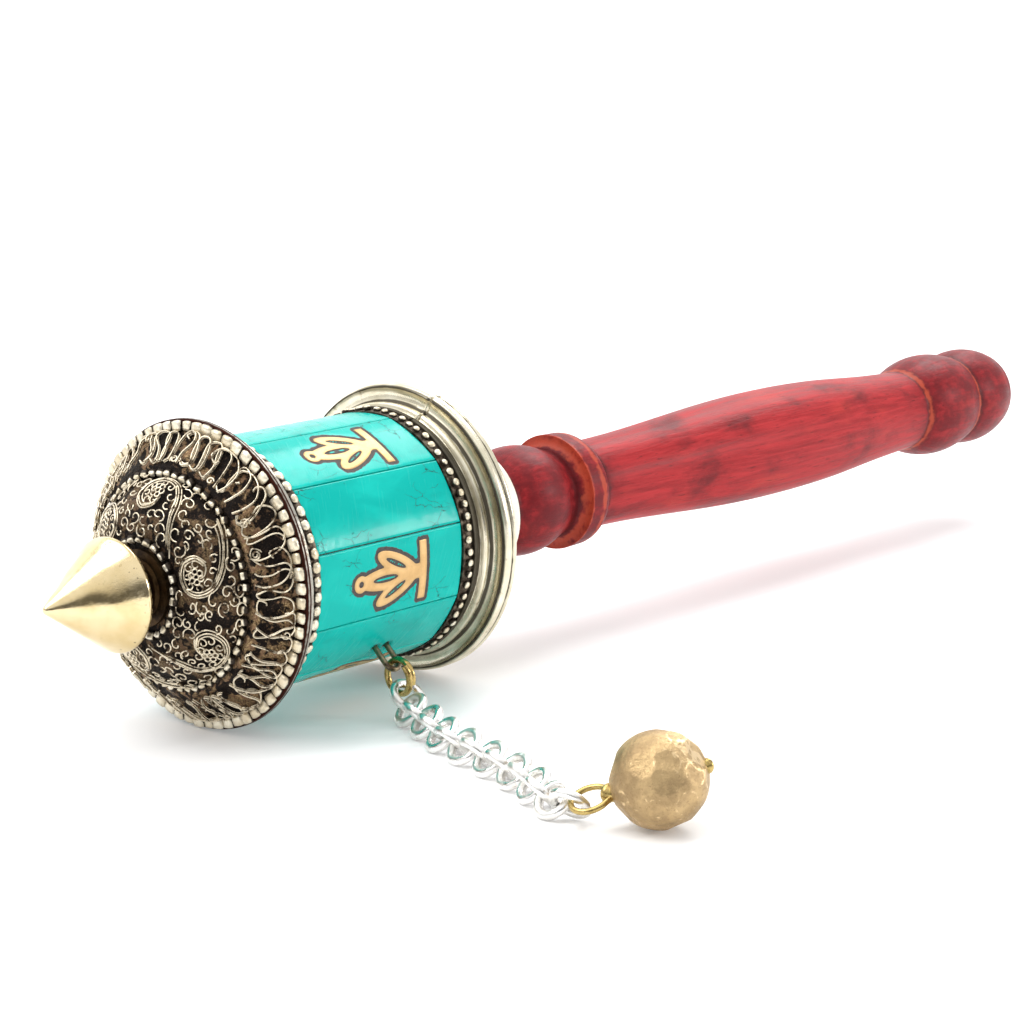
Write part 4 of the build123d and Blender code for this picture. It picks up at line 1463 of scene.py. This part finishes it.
def makeChain():
    silver = chainSilver()
    tree = linkTree()
    for number in range(1, chain["links"] + 1):
        node = f"chain_link_{number:02d}"
        settings = {
            "ringRadius": chain["linkRadius"] * mm, "wireRadius": chain["linkWire"] * mm,
            "oval": chain["oval"], "wobble": chain["wobble"] * mm * 2, "seed": number, "finish": silver}
        mesh = growMesh(f"silverLink{number:02d}", tree, settings)
        turn, middle = ringFrame(node)
        mesh.transform(Matrix.Translation(middle) @ turn @ Matrix.Rotation(number * 1.3, 4, "Z"))
        addPiece(f"silverLink{number:02d}", mesh, node, [node], crease=0)
    turn, middle = ringFrame("jump_ring")
    top = Vector(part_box("eyelet")[0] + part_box("eyelet")[1]) / 2 - middle
    local = turn.inverted() @ top
    start = math.degrees(math.atan2(local.y, local.x))
    line = []
    sweep = 360 + chain["ringLap"]
    for step in range(73):
        part = step / 72
        way = math.radians(start - 150 + sweep * part)
        reach = chain["ringRadius"] + max(0, part - 0.86) * 3.2
        rise = 1.3 * max(0, part - 0.72) / 0.28
        local = Vector((reach * math.cos(way), reach * math.sin(way), rise)) * mm
        line.append(middle + (turn @ local))
    settings = {"wireRadius": chain["ringWire"] * mm, "sides": 14, "finish": brassWire()}
    addPiece(
        "openRing", growMesh("openRing", bentWire, settings, [(line, False)]), "jump_ring",
        ["jump_ring"], crease=50)
    half = eyeletPlace["halfWidth"]
    bend = eyeletPlace["reach"] - half
    hairpin = [(-half, eyeletPlace["root"]), (-half, 22.0), (-half * 1.02, bend - 0.6)]
    hairpin += [
        (half * math.sin(way), bend + half * math.cos(way)) for way in np.radians(np.arange(-75, 76, 15))]
    hairpin += [(half * 1.02, bend - 0.6), (half, 22.0), (half, eyeletPlace["root"])]
    line = [
        onAxle(eyeletPlace["station"] + x, reach, eyeletPlace["angle"])
        for x, reach in flowPath(hairpin, 4)]
    settings = {"wireRadius": eyeletPlace["wire"] * mm, "sides": 14, "finish": bronzeWire()}
    addPiece(
        "hairpinEyelet", growMesh("hairpinEyelet", bentWire, settings, [(line, False)]), "wheel",
        ["eyelet"], crease=50)


makeChain()
print("chain made")

# weight: a cast brass ball, hammered while hot, on its eye pin
weight = {
    "facets": 46,
    "bite": 0.045,  # how deep the deepest facet goes, as a part of the radius
    "wire": 0.5,
    "highlightWay": (0.25, -0.62, 0.55),  # towards the broad flat, whose bright colour is a painted highlight
}


def makeWeight():
    rng = random.Random(12)
    ballLow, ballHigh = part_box("ball")
    middle = (ballLow + ballHigh) / 2
    radius = (ballHigh.x - ballLow.x) / 2
    faces = []
    for _ in range(weight["facets"]):
        way = Vector((rng.gauss(0, 1), rng.gauss(0, 1), rng.gauss(0, 1))).normalized()
        faces.append((way, 1 - weight["bite"] * rng.uniform(0.2, 1.0)))
    highlightWay = Vector(weight["highlightWay"]).normalized()
    faces.append((highlightWay, 0.93))
    mesh = bpy.data.meshes.new("hammeredBall")
    work = bmesh.new()
    bmesh.ops.create_icosphere(work, subdivisions=6, radius=1.0)
    wearAndHighlightLayer = work.verts.layers.float.new("wearAndHighlight")
    for vert in work.verts:
        way = vert.co.normalized()
        reach, rub = 1.0, 0.0
        for normal, far in faces:
            facing = way.dot(normal)
            if facing < 0.7:
                continue
            flat = far / facing
            if flat < reach + 0.02:
                blend = 0.012
                mix = min(max(0.5 + 0.5 * (reach - flat) / blend, 0), 1)
                reach = reach + (flat - reach) * mix - blend * mix * (1 - mix) * 0.5
            edge = abs(flat - 1.0)
            rub = max(rub, 1 - edge / 0.012)
        # rubbed facet ridges are wear; the broad flat facing the lamps gets a painted highlight
        vert[wearAndHighlightLayer] = max(0, rub) * 0.6 + 0.5 * max(0, way.dot(highlightWay) - 0.72) / 0.28
        wave = 0.006 * math.sin(7 * way.x + 3) * math.sin(6 * way.y + 1) * math.sin(8 * way.z)
        vert.co = middle + way * radius * (reach + wave)
    work.to_mesh(mesh)
    work.free()
    addPiece("hammeredBall", mesh, "weight", ["ball"], castBrass(), crease=0)
    eyeMiddle = ringCentreOfEye(middle, radius)
    ahead = (middle - eyeMiddle).normalized()
    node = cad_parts["eye_pin"].data
    offsets = [vert.co - middle for vert in node.vertices]
    near = [middle + way for way in offsets if way.length > radius * 1.06 and way.dot(ahead) < 0]
    points = np.array([list(point) for point in near])
    _, _, axes = np.linalg.svd(points - points.mean(0), full_matrices=False)
    normal = Vector(axes[2])
    side = normal.cross(ahead).normalized()
    loop = []
    for way in np.radians(np.arange(32, 329, 12)):
        loop.append(eyeMiddle + (ahead * math.cos(way) * 1.04 + side * math.sin(way) * 0.96) * 2.9 * mm)
    first = middle - ahead * (radius - 0.6 * mm)
    lines = [([first + side * 0.5 * mm] + loop + [first - side * 0.5 * mm], False)]
    lines = [(flowPath(lines[0][0], 2), False)]
    finish = brassWire()
    settings = {"wireRadius": weight["wire"] * mm, "sides": 12, "finish": finish}
    mesh = growMesh("eyePin", bentWire, settings, lines)
    work = bmesh.new()
    work.from_mesh(mesh)
    nub = bmesh.ops.create_uvsphere(work, u_segments=20, v_segments=12, radius=1.15 * mm)["verts"]
    for vert in nub:
        vert.co = middle + ahead * (radius - 0.35 * mm) + vert.co * (1 + 0.12 * math.sin(vert.co.x * 4000))
    collar = bmesh.ops.create_uvsphere(work, u_segments=20, v_segments=12, radius=1.5 * mm)["verts"]
    for vert in collar:
        vert.co = middle - ahead * (radius + 0.1 * mm) + vert.co * (1 + 0.1 * math.sin(vert.co.y * 3000))
    work.to_mesh(mesh)
    work.free()
    mesh.materials.clear()
    addPiece("eyePin", mesh, "weight", ["eye_pin"], finish, crease=0)


def ringCentreOfEye(middle, radius):
    # the eye is the part of the pin that stands clear of the ball, on the chain's side
    linkLow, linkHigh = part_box("chain_link_17")
    towards = ((linkLow + linkHigh) / 2 - middle).normalized()
    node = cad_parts["eye_pin"].data
    clear = [vert.co for vert in node.vertices if (vert.co - middle).dot(towards) > radius * 1.08]
    low = Vector([min(point[axis] for point in clear) for axis in range(3)])
    high = Vector([max(point[axis] for point in clear) for axis in range(3)])
    return (low + high) / 2


makeWeight()
print("weight made")

# inner and plain parts keep their CAD mesh and get their own finish
def rolledPaper():
    material, tree, shader = newFinish("rolledPaper")
    space, place = axleSpace(tree)
    fibre = grains(tree, place, 0.6, 5.0, 0.65, stretch=(3, 1, 1))
    tone = grains(tree, place, 6.0, 4.0)
    layers = reckon(tree, "SINE", times(tree, space["radius"], 22.0))
    colour = blend(tree, tone, 0.35, 0.7, (0.72, 0.63, 0.44), (0.56, 0.46, 0.28))
    colour = blend(tree, fibre, 0.55, 0.75, colour, (0.38, 0.29, 0.16), 0.5)
    colour = blend(tree, layers, 0.4, 1.0, colour, (0.3, 0.23, 0.13), 0.4)
    joinShader(tree, shader, colour=colour, rough=0.85, normal=relief(tree, plus(tree, fibre, layers), 0.08))
    return material


def wovenRibbon():
    material, tree, shader = newFinish("wovenRibbon")
    space, place = axleSpace(tree)
    around = times(tree, space["angle"], 18.0)
    warp = reckon(tree, "SINE", times(tree, space["station"], 16.0))
    weft = reckon(tree, "SINE", times(tree, around, 16.0))
    cloth = times(tree, warp, weft)
    tone = grains(tree, place, 5.0, 3.0)
    colour = blend(tree, tone, 0.35, 0.7, (0.60, 0.36, 0.04), (0.48, 0.26, 0.03))
    colour = blend(tree, cloth, -1.0, 1.0, colour, (0.24, 0.12, 0.015))
    joinShader(tree, shader, colour=colour, rough=0.8, normal=relief(tree, cloth, 0.06))
    return material


def finishPlainParts():
    aged = metalFinish(
        "agedBrass", (0.15, 0.095, 0.045), (0.05, 0.03, 0.017), patch=2.4, cover=(0.42, 0.64),
        rough=(0.4, 0.6))
    steel = metalFinish(
        "drawnSteel", (0.56, 0.56, 0.55), (0.24, 0.19, 0.15), patch=2.0, cover=(0.55, 0.75),
        rough=(0.22, 0.4))
    copper = metalFinish(
        "copperSheet", (0.50, 0.24, 0.13), (0.13, 0.07, 0.045), patch=5.0, cover=(0.4, 0.66),
        rough=(0.3, 0.55))
    base = metalFinish(
        "basePlate", (0.34, 0.30, 0.22), (0.08, 0.06, 0.04), patch=5.0, cover=(0.38, 0.62),
        rough=(0.35, 0.6), grooves=[("radius", 19.9, 0.5), ("radius", 6.6, 0.7)])
    bands = metalFinish(
        "sootBand", (0.20, 0.16, 0.12), (0.035, 0.025, 0.018), patch=1.2, cover=(0.36, 0.6),
        rough=(0.4, 0.65), lumps=0.2, lumpSize=0.7)
    dressed = {
        "axle_rod": steel, "finial_washer": aged, "upper_bush": aged, "lower_bush": aged,
        "drum_shell": copper, "base_plate": base, "upper_band": bands, "lower_band": bands,
        "paper_roll": rolledPaper(), "paper_ribbon": wovenRibbon()}
    for name, finish in dressed.items():
        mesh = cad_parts[name].data
        for index in range(len(mesh.materials)):
            mesh.materials[index] = finish
        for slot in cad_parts[name].material_slots:
            slot.material = finish


finishPlainParts()
print("plain parts finished")
